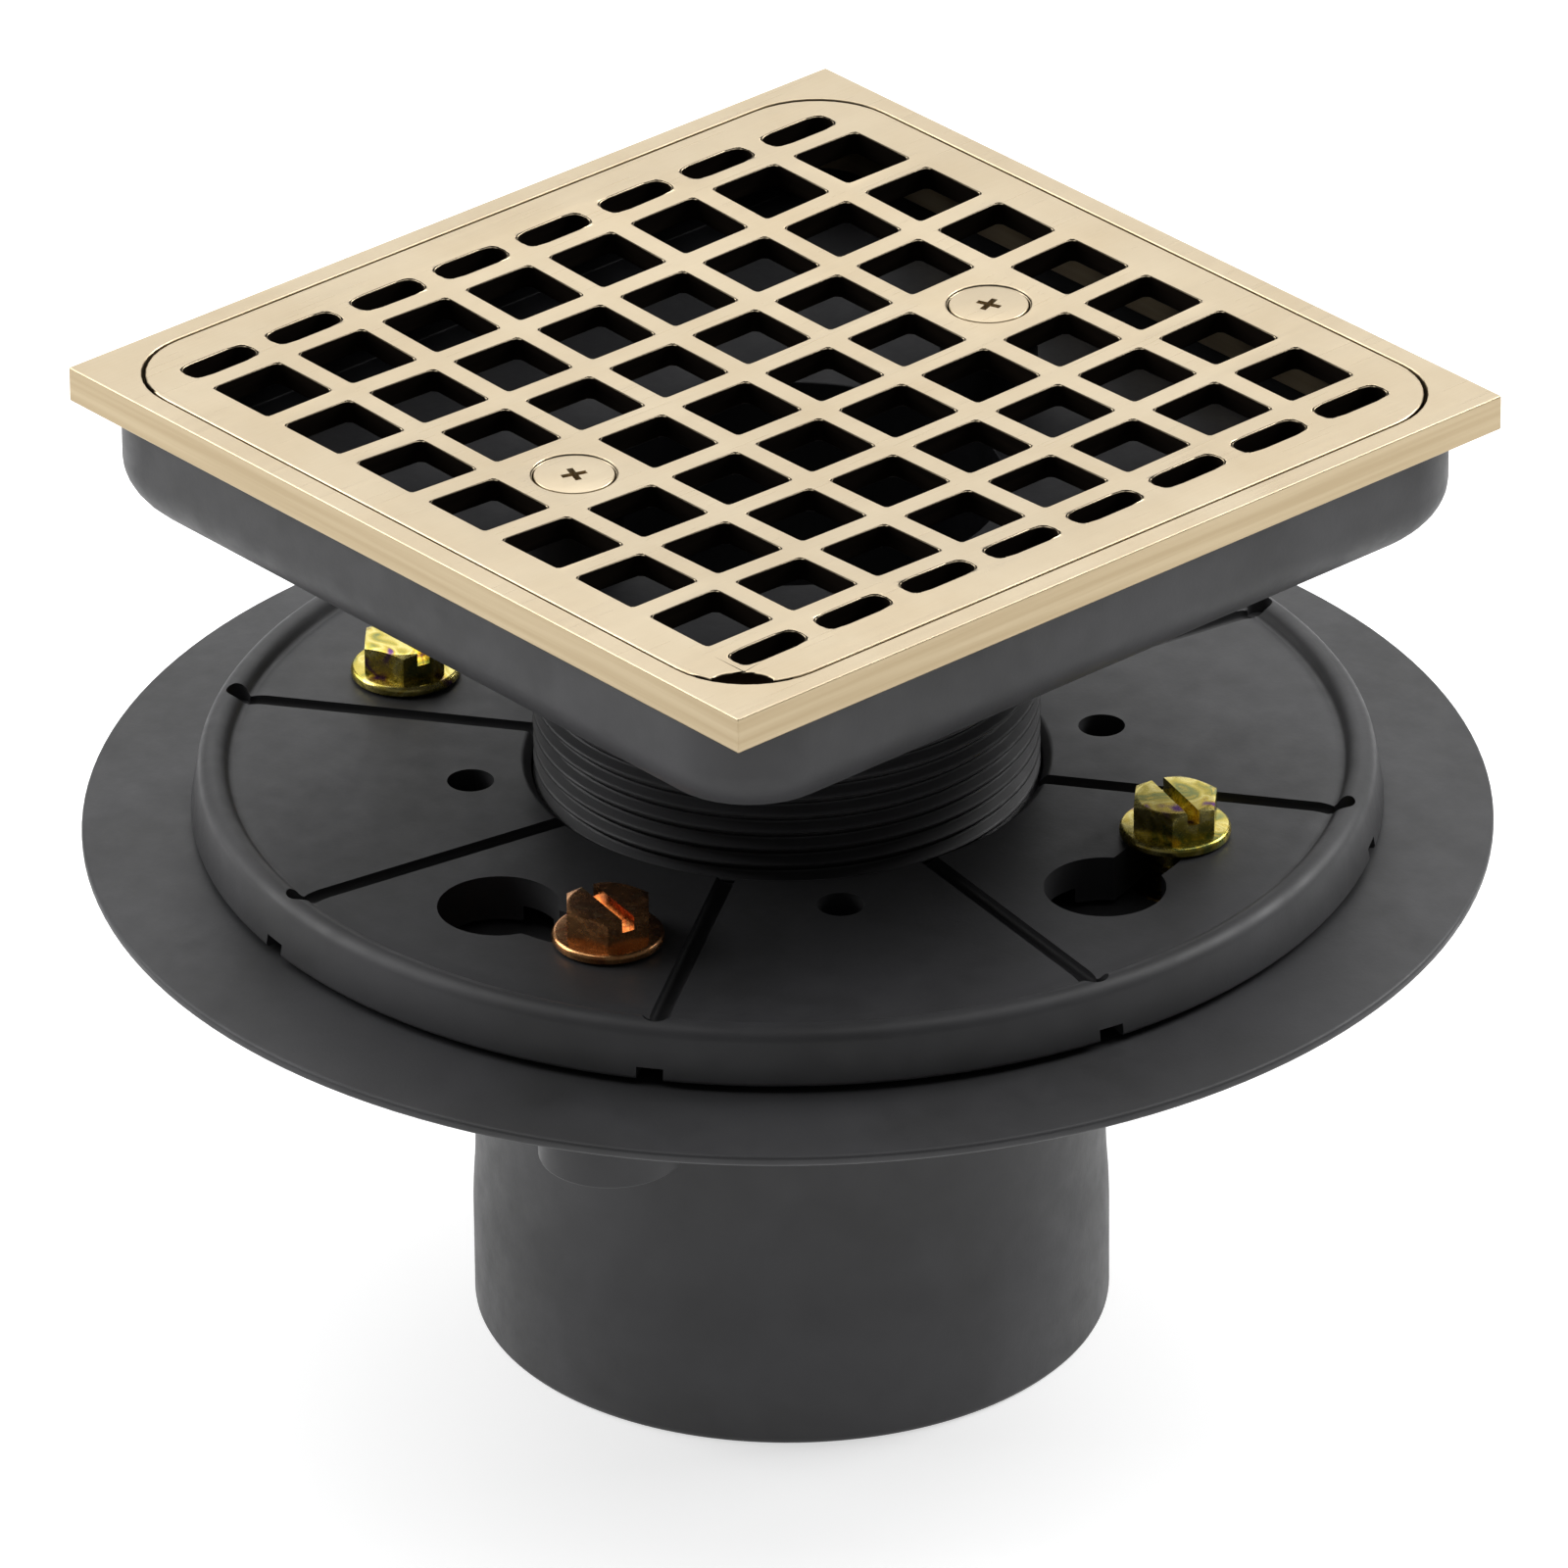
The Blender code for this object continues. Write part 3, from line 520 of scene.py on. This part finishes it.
golden = zinc_plating("yellow_chromate_zinc",
                      ["#6f4380", "#d6bd4c", "#efe08c", "#c8b64e", "#878f52", "#e3c450"])
coppery = zinc_plating("coppery_chromate_zinc",
                       ["#8c5a56", "#c98450", "#dfa56e", "#d4945f", "#ab7c5a", "#e6b880"])

# %% [markdown]
# ## Turned brass
# The threaded inserts are turned from brass bar.  The tool leaves fine rings, drawn here
# 0.4 mm apart, on a metal that is deeper in colour than the bronze.

# %% Brass
brass, tree, shader, place = new_material("turned_brass", 1.0, 0.3)
here = place.outputs["Object"]
rings = add_node(tree, "ShaderNodeTexWave", {"Vector": here, "Scale": grains(0.4) / 6.3,
                                             "Distortion": 0.4}, bands_direction="Z")
stain = add_node(tree, "ShaderNodeTexNoise", {"Vector": here, "Scale": grains(5),
                                              "Detail": 3.0})
tone = add_node(tree, "ShaderNodeValToRGB", {"Fac": stain.outputs["Fac"]})
tone.color_ramp.elements[0].position = 0.3
tone.color_ramp.elements[0].color = linear("#b98f45")
tone.color_ramp.elements[1].position = 0.7
tone.color_ramp.elements[1].color = linear("#d9b366")
tree.links.new(tone.outputs["Color"], shader.inputs["Base Color"])
relief = add_node(tree, "ShaderNodeBump", {"Height": rings.outputs["Fac"],
                                           "Strength": 0.4, "Distance": 0.03 * MM})
tree.links.new(relief.outputs["Normal"], shader.inputs["Normal"])
for name in ("bolt_insert_1", "bolt_insert_2", "bolt_insert_3", "bolt_insert_4",
             "screw_insert_1", "screw_insert_2"):
    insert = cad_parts[name]
    insert.data.materials.clear()
    insert.data.materials.append(brass)

# %% [markdown]
# ## The base
# One moulding makes the wide flange, the throat below it and the hub that slips over the
# waste pipe.  It is round nearly everywhere, so its wall is one profile, turned.  The four
# bosses for the bolts are joined to it, and the hollows that keep the wall even are cut.

# %% Base
BOLT_ANGLES = (24, 114, 204, 294)
BOLT_CIRCLE = 50.2
HUB = 37.9
THROAT = 35.6
SOCKET = 30.25
base = solid(turned([
    (THROAT, FLANGE_TOP, 1.2), (58.3, FLANGE_TOP, 0.3), (59.3, FLANGE_TOP + 0.5, 0.4),
    (60.3, FLANGE_TOP, 0.3), (71.0, FLANGE_TOP), (84.0, 65.4, 0.45), (84.0, 64.2, 0.4),
    (74.0, 61.6, 1.0), (HUB, 61.6, 3.2), (HUB, 20.5, 2.0), (38.3, 14.5, 2.0),
    (38.3, 0.0, 0.9), (SOCKET, 0.0, 0.9), (SOCKET, 19.0, 0.3), (27.0, 19.0, 0.3),
    (27.0, 21.5, 0.4), (THROAT, 27.0, 1.5)]), "base")

BOSS_BOTTOM, BOSS_TOP = 44.4, 62.6
INSERT_RADIUS, INSERT_FLOOR = 5.1, 53.1
SHANK_RADIUS, SHANK_FLOOR = 3.5, 46.4
WEB_SIZE, WEB_CENTRE = (7.0, 8.0, 17.6), (40.4, 0, 54.2)
HOLLOWS = 8
HOLLOW_STEP = 360 / HOLLOWS
RIB = 4.86
centres = [on_circle(BOLT_CIRCLE, angle) for angle in BOLT_ANGLES]
join(base, gathered(disc(8.6, BOSS_BOTTOM, BOSS_TOP, c, steps=48, upper=8.8)
                    for c in centres),
     gathered(rotated(block(WEB_SIZE, WEB_CENTRE), angle) for angle in BOLT_ANGLES))
cut(base, gathered(disc(INSERT_RADIUS, INSERT_FLOOR, FLANGE_TOP + 1.0, c)
                   for c in centres),
    gathered(disc(SHANK_RADIUS, SHANK_FLOOR, INSERT_FLOOR + 1.0, c) for c in centres),
    gathered(sector(33.4, 35.4, -1.0, 15.0, (i - 0.5) * HOLLOW_STEP + RIB / 2,
                    (i + 0.5) * HOLLOW_STEP - RIB / 2) for i in range(HOLLOWS)))
finish_piece(base, "drain_base", "base", plastic, edge=0.3)

# %% [markdown]
# ## The clamping collar
# The collar is a heavy ring.  Its face dips into a shallow valley before the raised rim,
# and a short sleeve hangs below the face to take the barrel's thread.

# %% Collar ring
RIM_TOP = COLLAR_FACE + 1.1
VALLEY = COLLAR_FACE - 0.35
collar = solid(turned([
    (31.45, COLLAR_FACE, 0.3), (64.7, COLLAR_FACE, 0.8), (66.2, VALLEY, 0.5),
    (67.2, RIM_TOP, 0.9), (69.8, RIM_TOP, 1.6),
    (71.0, 67.2, 0.5), (43.5, 67.2, 0.3), (43.5, 69.2),
    (33.6, 69.2, 0.5), (33.6, 60.5, 0.5), (30.45, 60.5, 0.5), (30.45, 71.9)]), "collar")

# %% [markdown]
# ## Keyholes, weeps and grooves
# Keyholes let the collar drop over the loose bolts and turn home; each is cut by a wide
# disc, a curved slot and a round end.  Weep holes let seepage down.  A groove's tool is a bar
# with a round nose and a round bottom, so it leaves the soft trough of a moulded groove.  It
# ends at a small pit in the rim, and an arch under the edge drains the liner.

# %% Cut the collar
KEYHOLE_TURN = 17.7
KEYHOLE_RADIUS, SLOT_HALF = 7.2, 3.5
WEEP_RADIUS, WEEP_CIRCLE, WEEP_TURN = 2.8, 38.0, 34
BELOW, ABOVE = 60.0, 80.0
WIDE_ENDS = [angle - KEYHOLE_TURN for angle in BOLT_ANGLES]
cut(collar,
    gathered(disc(KEYHOLE_RADIUS, BELOW, ABOVE, on_circle(BOLT_CIRCLE, a), steps=64)
             for a in WIDE_ENDS),
    gathered(sector(BOLT_CIRCLE - SLOT_HALF, BOLT_CIRCLE + SLOT_HALF, BELOW, ABOVE, a,
                    a + KEYHOLE_TURN) for a in WIDE_ENDS),
    gathered(rotated(disc(SLOT_HALF, BELOW, ABOVE, (BOLT_CIRCLE, 0), steps=48), a)
             for a in BOLT_ANGLES),
    gathered(disc(WEEP_RADIUS, BELOW, ABOVE, on_circle(WEEP_CIRCLE, a + WEEP_TURN),
                  steps=40) for a in BOLT_ANGLES))


def groove_tool(angle):
    """A round-nosed bar that stands upright in the groove it cuts."""
    floor = COLLAR_FACE - 1.3
    length, width, height = 37.0, 2.3, 6.0
    bar = block((length, width, height), (48.05, 0, floor + height / 2), 1.14, 8,
                ends=(1,))
    lower = [e for e in bar.edges if all(v.co.z < floor + 0.01 for v in e.verts)]
    bmesh.ops.bevel(bar, geom=lower, offset=0.75, segments=4, profile=0.5,
                    affect="EDGES", material=-1)
    return rotated(bar, angle)


RAYS = [35.5 + 45 * i for i in range(8)]
PIT_CIRCLE = 67.1
ARCH_SIZE, ARCH_CENTRE = (30.0, 3.2, 3.2), (57.5, 0, 67.2)
cut(collar, gathered(groove_tool(a) for a in RAYS),
    gathered(disc(1.25, COLLAR_FACE - 1.0, 76.0, on_circle(PIT_CIRCLE, a), steps=30,
                  upper=2.1) for a in RAYS),
    gathered(rotated(block(ARCH_SIZE, ARCH_CENTRE), a) for a in RAYS))
finish_piece(collar, "clamping_collar", "collar", plastic, edge=0.0)

# %% [markdown]
# ## The strainer body
# A square tray with a round barrel below it, moulded in one.  The tray's lower edge turns in
# along a quarter circle: its bottom face is extruded and shrunk nine times, ten degrees at a
# time.  The barrel's thread screws down into the collar to bring the grate level with the
# tile.

# %% Strainer body
HEAD_HALF, TURN_IN = 58.5, 7.0
TURN_STEPS = 9
STEP_ANGLE = math.radians(90 / TURN_STEPS)
head = plate(HEAD_HALF, 11.0, HEAD_BOTTOM + TURN_IN, HEAD_TOP)
head.normal_update()
underside = [f for f in head.faces if f.normal.z < -0.9]
half = HEAD_HALF
for step in range(1, TURN_STEPS + 1):
    lean = step * STEP_ANGLE
    moved = bmesh.ops.extrude_face_region(head, geom=underside)["geom"]
    bmesh.ops.delete(head, geom=[f for f in underside if f.is_valid],
                     context="FACES_ONLY")
    underside = [g for g in moved if isinstance(g, bmesh.types.BMFace)]
    corners = [g for g in moved if isinstance(g, bmesh.types.BMVert)]
    next_half = HEAD_HALF - TURN_IN * (1 - math.cos(lean))
    drop = TURN_IN * (math.sin(lean) - math.sin(lean - STEP_ANGLE))
    bmesh.ops.scale(head, vec=(next_half / half, next_half / half, 1), verts=corners)
    bmesh.ops.translate(head, vec=(0, 0, -drop), verts=corners)
    half = next_half
strainer = solid(cleaned(head), "strainer")
PIPE_THREAD = 2.209
THREAD_ROOT, THREAD_CREST = 29.0, 30.15
join(strainer, threaded_rod(THREAD_ROOT, THREAD_CREST, PIPE_THREAD, BARREL_END,
                            HEAD_BOTTOM + 1.0))

TRAY = 110.6
BORE = 26.0
cut(strainer, plate(54.9, 7.4, TRAY, HEAD_TOP + 1.0),
    disc(BORE - 1.0, TRAY - 1.6, TRAY + 0.02, steps=96, upper=48.0),
    disc(BORE, BARREL_END - 1.0, HEAD_TOP, steps=96))
SCREW_Y = 32.5
SCREW_INSERT = 3.9
SCREW_TOP = level("grate_screw_1")
for side in (-1, 1):
    centre = (0, side * SCREW_Y)
    join(strainer, disc(6.0, HEAD_BOTTOM + 1.0, SCREW_TOP - 3.1, centre, upper=5.8))
    cut(strainer, disc(SCREW_INSERT, HEAD_BOTTOM + 1.5, HEAD_TOP + 3.0, centre))
finish_piece(strainer, "strainer_body", "strainer", tray_painted_shade_plastic,
             edge=0.25)

# %% [markdown]
# ## The metal frame
# The frame is a sharp-cornered square with a round-cornered pocket for the grate, a ledge
# that carries it and a skirt that drops into the plastic tray.

# %% Frame
rim = solid(plate(59.6, 0.0, FRAME_BOTTOM, FRAME_TOP), "frame")
join(rim, plate(54.6, 8.9, FRAME_BOTTOM - 3.2, FRAME_BOTTOM + 0.3))
cut(rim, plate(56.7, 11.0, LEDGE_TOP, FRAME_TOP + 1.0),
    plate(52.9, 7.2, FRAME_BOTTOM - 4.2, LEDGE_TOP + 1.0))
finish_piece(rim, "strainer_frame", "strainer", machined, edge=0.2)

# %% [markdown]
# ## The grate
# The casting is a grid with square holes on a 13 mm pitch, and half-width slots along two
# sides.  A grid of cells gives just that: each cell is inset by half a bar, and its middle
# is taken out later.

# %% Grid of bars
PITCH = 13.0
HALF_BAR = 1.45
THICKNESS = 2.9
COLUMNS, ROWS = 9, 8
GRID_HALF = ROWS * PITCH / 2
openwork = bmesh.new()
bmesh.ops.create_grid(openwork, x_segments=COLUMNS, y_segments=ROWS, size=0.5)
for vertex in openwork.verts:
    column = round((vertex.co.x + 0.5) * COLUMNS)
    inner = min(max(column - COLUMNS / 2, -3.5), 3.5) * PITCH
    vertex.co.x = inner + {0: -PITCH / 2, COLUMNS: PITCH / 2}.get(column, 0.0)
    vertex.co.y = vertex.co.y * ROWS * PITCH
cells = [f for f in openwork.faces
         if abs(f.calc_center_median().x) > 1.0
         or abs(abs(f.calc_center_median().y) - SCREW_Y) > 1.0]
bmesh.ops.inset_individual(openwork, faces=cells, thickness=HALF_BAR,
                           use_even_offset=True)
print(len(cells), "openings")

# %% [markdown]
# ## Rounding the openings
# Bevelling a corner point of an opening draws the arc that the pattern's draft leaves
# there.  The squares get small rounds, and the slots get ends that are nearly half round;
# the four corners nearest the rim's own come last.

# %% Rounded openings
SLOTS_START, NEAR_RIM = 3.5 * PITCH, 50.0
SQUARE_CORNER, SLOT_CORNER = (1.2, 4), (1.799, 6)
squares, slots, outer = [], [], []
for face in cells:
    for vertex in face.verts:
        if abs(vertex.co.x) < SLOTS_START:
            squares.append(vertex)
        elif abs(vertex.co.x) > NEAR_RIM and abs(vertex.co.y) > NEAR_RIM:
            outer.append(vertex)
        else:
            slots.append(vertex)
bmesh.ops.delete(openwork, geom=cells, context="FACES")
for corners, (radius, steps) in ((squares, SQUARE_CORNER), (slots, SLOT_CORNER),
                                 (outer, SLOT_CORNER)):
    bmesh.ops.bevel(openwork, geom=corners, offset=radius, segments=steps, profile=0.5,
                    affect="VERTICES", material=-1)

# %% [markdown]
# ## The grate's rim and thickness
# The grid's outer edge is pulled out past the rim, the sheet is given its thickness, and a
# round-cornered plate trims it to the outline.  The screw seats and a finger notch in one
# corner are cut next, and last of all the whole casting is dished.

# %% Grate outline
GRATE_HALF, GRATE_CORNER = 56.4, 11.0
PULLED_HALF = 58.0
border = [e for e in openwork.edges if e.is_boundary
          and (all(abs(v.co.x) > GRID_HALF - 0.1 for v in e.verts)
               or all(abs(v.co.y) > GRID_HALF - 0.1 for v in e.verts))]
pulled = bmesh.ops.extrude_edge_only(openwork, edges=border)["geom"]
for vertex in [g for g in pulled if isinstance(g, bmesh.types.BMVert)]:
    vertex.co.x *= PULLED_HALF / GRID_HALF
    vertex.co.y *= PULLED_HALF / GRID_HALF
bmesh.ops.recalc_face_normals(openwork, faces=openwork.faces)
skin = openwork.faces[:]
lower = bmesh.ops.extrude_face_region(openwork, geom=skin)["geom"]
bmesh.ops.translate(openwork, vec=(0, 0, -THICKNESS),
                    verts=[g for g in lower if isinstance(g, bmesh.types.BMVert)])
bmesh.ops.translate(openwork, vec=(0, 0, GRATE_TOP), verts=openwork.verts)
grate = solid(cleaned(openwork), "grate")
combine(grate, "INTERSECT",
        plate(GRATE_HALF, GRATE_CORNER, GRATE_TOP - 8, GRATE_TOP + 8))

DISH = 1.3
DISH_RADIUS = 53.3


def dish(x, y):
    """How far the grate's face lies below its rim; the screw seats are level."""
    if math.hypot(x, abs(y) - SCREW_Y) < 5.4:
        x, y = 0.0, SCREW_Y
    return DISH * max(0.0, 1.0 - (x * x + y * y) / DISH_RADIUS ** 2)


SEAT = GRATE_TOP - 0.1
SEAT_RADIUS = 5.05
for side in (-1, 1):
    centre = (0, side * SCREW_Y)
    cut(grate, disc(2.65, SEAT - 6.0, SEAT + 1.0, centre),
        disc(2.35, SEAT - 2.8, SEAT - 0.3, centre, steps=48, upper=SEAT_RADIUS),
        disc(SEAT_RADIUS, SEAT - 0.32, SEAT + 1.0, centre, steps=48))
notch_middle = math.sqrt(2) * (GRATE_HALF - GRATE_CORNER) + GRATE_CORNER
scoop = bmesh.new()
bmesh.ops.create_uvsphere(scoop, u_segments=32, v_segments=16, radius=1.0)
bmesh.ops.scale(scoop, vec=(2.1, 3.6, 3.5), verts=scoop.verts)
bmesh.ops.translate(scoop, vec=(notch_middle - 0.3, 0, GRATE_TOP), verts=scoop.verts)
cut(grate, rotated(scoop, -45))
for vertex in grate.data.vertices:
    vertex.co.z -= dish(vertex.co.x, vertex.co.y)
finish_piece(grate, "grate", "grate", openwork_bronze_painted_shade,
             edge=0.25, flat=0.0)

# %% [markdown]
# ## The grate screws
# Two countersunk screws hold the grate.  Their cross recess tapers to the point of the
# driver, and the shank carries a real thread.

# %% Grate screws
HEAD_RADIUS, SHANK, SCREW_PITCH, SCREW_LENGTH = 4.75, 2.05, 0.91, 12.7
blank = solid(turned([(0, 0), (HEAD_RADIUS, 0, 0.15), (HEAD_RADIUS, -0.3), (SHANK, -2.8),
                      (SHANK, -3.4), (0, -3.4)], steps=64, closed=False), "screw")
join(blank, threaded_rod(1.9, 2.35, SCREW_PITCH, -SCREW_LENGTH, -3.2, steps=36))
for angle in (0, 90):
    arm = block((4.4, 1.0, 3.2), (0, 0, 0))
    point = [v for v in arm.verts if v.co.z < 0]
    bmesh.ops.scale(arm, vec=(0.42, 0.6, 1.0), verts=point)
    cut(blank, rotated(arm, angle))


def copy_at(blank, turn, place):
    """A copy of a blank's solid, turned about its axis and moved to its place."""
    shape = bmesh.new()
    shape.from_mesh(blank.data)
    rotated(shape, turn)
    bmesh.ops.translate(shape, vec=place, verts=shape.verts)
    return solid(shape, "copy")


for node, side in (("grate_screw_1", -1), ("grate_screw_2", 1)):
    screw = copy_at(blank, 20 * side, (0, side * SCREW_Y, SCREW_TOP))
    finish_piece(screw, node, node, machined, edge=0.0)
bpy.data.objects.remove(blank, do_unlink=True)

# %% [markdown]
# ## The collar bolts
# Quarter-inch hex bolts with a washer face and a driver slot.  The hexagon is a six-sided
# rod trimmed by a turned dome, which leaves the curved chamfer that every hex head has.

# %% Collar bolts
BOLT_SEAT = COLLAR_FACE + 0.3
HEX_RADIUS, BOLT_HEAD, WASHER = 5.485, 4.8, 6.6
BOLT_ROOT, BOLT_CREST, BOLT_PITCH, BOLT_LENGTH = 2.45, 3.0, 1.27, 25.4
blank = solid(disc(HEX_RADIUS, 0.6, BOLT_HEAD, steps=6), "bolt")
combine(blank, "INTERSECT",
        turned([(0, 0), (6.0, 0), (6.0, 4.25), (4.6, BOLT_HEAD, 0.2), (0, BOLT_HEAD)],
               steps=72, closed=False))
join(blank, turned([(0, 1.2), (4.9, 1.2), (6.3, 1.1, 0.2), (WASHER, 0.75, 0.2),
                    (WASHER, 0, 0.15), (BOLT_CREST, 0), (BOLT_CREST, -3.0), (0, -3.0)],
                   steps=72, closed=False),
     threaded_rod(BOLT_ROOT, BOLT_CREST, BOLT_PITCH, -BOLT_LENGTH, -2.6, steps=40))
cut(blank, block((16, 1.6, 3.4), (0, 0, BOLT_HEAD)))
for number, (angle, turn) in enumerate(zip(BOLT_ANGLES, (-16, 52, -13, -11)), start=1):
    bolt = copy_at(blank, turn, (*on_circle(BOLT_CIRCLE, angle), BOLT_SEAT))
    node = f"collar_bolt_{number}"
    finish_piece(bolt, node, node, coppery if number == 4 else golden,
                 edge=0.0)
bpy.data.objects.remove(blank, do_unlink=True)

# %% [markdown]
# ## Camera
# A very long lens from far away keeps the square's sides nearly parallel, as in a catalogue
# picture.  The camera looks at a point by the drain's axis, just above the flange's top.

# %% Camera
AZIMUTH, ELEVATION, ROLL = math.radians(48.74), math.radians(27.02), math.radians(-0.57)
DISTANCE = 1.9597
ORBIT_CENTRE = Vector((0, 0, 0.1211))
LOOK_AT = Vector((-0.00025, -0.0003, 0.0687))
back = Vector((math.sin(AZIMUTH) * math.cos(ELEVATION),
               -math.cos(AZIMUTH) * math.cos(ELEVATION), math.sin(ELEVATION)))
camera = bpy.data.objects.new("camera", bpy.data.cameras.new("camera"))
bpy.context.scene.collection.objects.link(camera)
camera.data.sensor_width = 36.0
camera.data.lens = 383.1
camera.location = ORBIT_CENTRE + back * DISTANCE
look = LOOK_AT - camera.location
camera.rotation_euler = (look.to_track_quat("-Z", "Y").to_matrix()
                         @ Matrix.Rotation(ROLL, 3, "Z")).to_euler()
camera.data.clip_start, camera.data.clip_end = 0.05, 20.0
bpy.context.scene.camera = camera

# %% [markdown]
# ## Floor and light
# A plain pale floor, which glows a little so that it stays white, a dim surround and soft
# lamps.  A low lamp hangs behind the drain, where the satin metal mirrors it and the
# plastic's top faces catch its sheen.  The widest lamp is high above, and two stand at the
# sides.

# %% Floor and lights
bpy.context.scene.view_settings.view_transform = "Standard"
floor_shape = bmesh.new()
bmesh.ops.create_grid(floor_shape, x_segments=1, y_segments=1, size=4.0)
floor = solid(floor_shape, "floor")
paper, tree, shader, place = new_material("pale_paper", 0.0, 0.9)
shader.inputs["Base Color"].default_value = linear("#d4d4d4")
shader.inputs["Emission Color"].default_value = linear("#ffffff")
shader.inputs["Emission Strength"].default_value = 0.62
floor.data.materials.append(paper)

world = bpy.data.worlds.new("studio")
world.use_nodes = True
world.node_tree.nodes["Background"].inputs["Color"].default_value = linear("#ffffff")
world.node_tree.nodes["Background"].inputs["Strength"].default_value = 0.08
bpy.context.scene.world = world

DRAIN_MIDDLE = Vector((0, 0, 0.08))


def soft_lamp(name, azimuth, elevation, distance, size, power):
    """A square area lamp that faces the drain; angles in degrees, size in metres."""
    a, e = math.radians(azimuth), math.radians(elevation)
    lamp = bpy.data.objects.new(name, bpy.data.lights.new(name, "AREA"))
    bpy.context.scene.collection.objects.link(lamp)
    lamp.data.size = size
    lamp.data.energy = power
    away = Vector((math.sin(a) * math.cos(e), -math.cos(a) * math.cos(e), math.sin(e)))
    lamp.location = DRAIN_MIDDLE + away * distance
    lamp.rotation_euler = (-away).to_track_quat("-Z", "Y").to_euler()


soft_lamp("back_lamp", 229, 32, 1.6, 1.6, 8.8)
soft_lamp("top_lamp", 229, 75, 1.7, 2.4, 26)
soft_lamp("left_lamp", -58, 30, 1.5, 1.0, 15)
soft_lamp("right_lamp", 163, 34, 1.5, 0.7, 16)
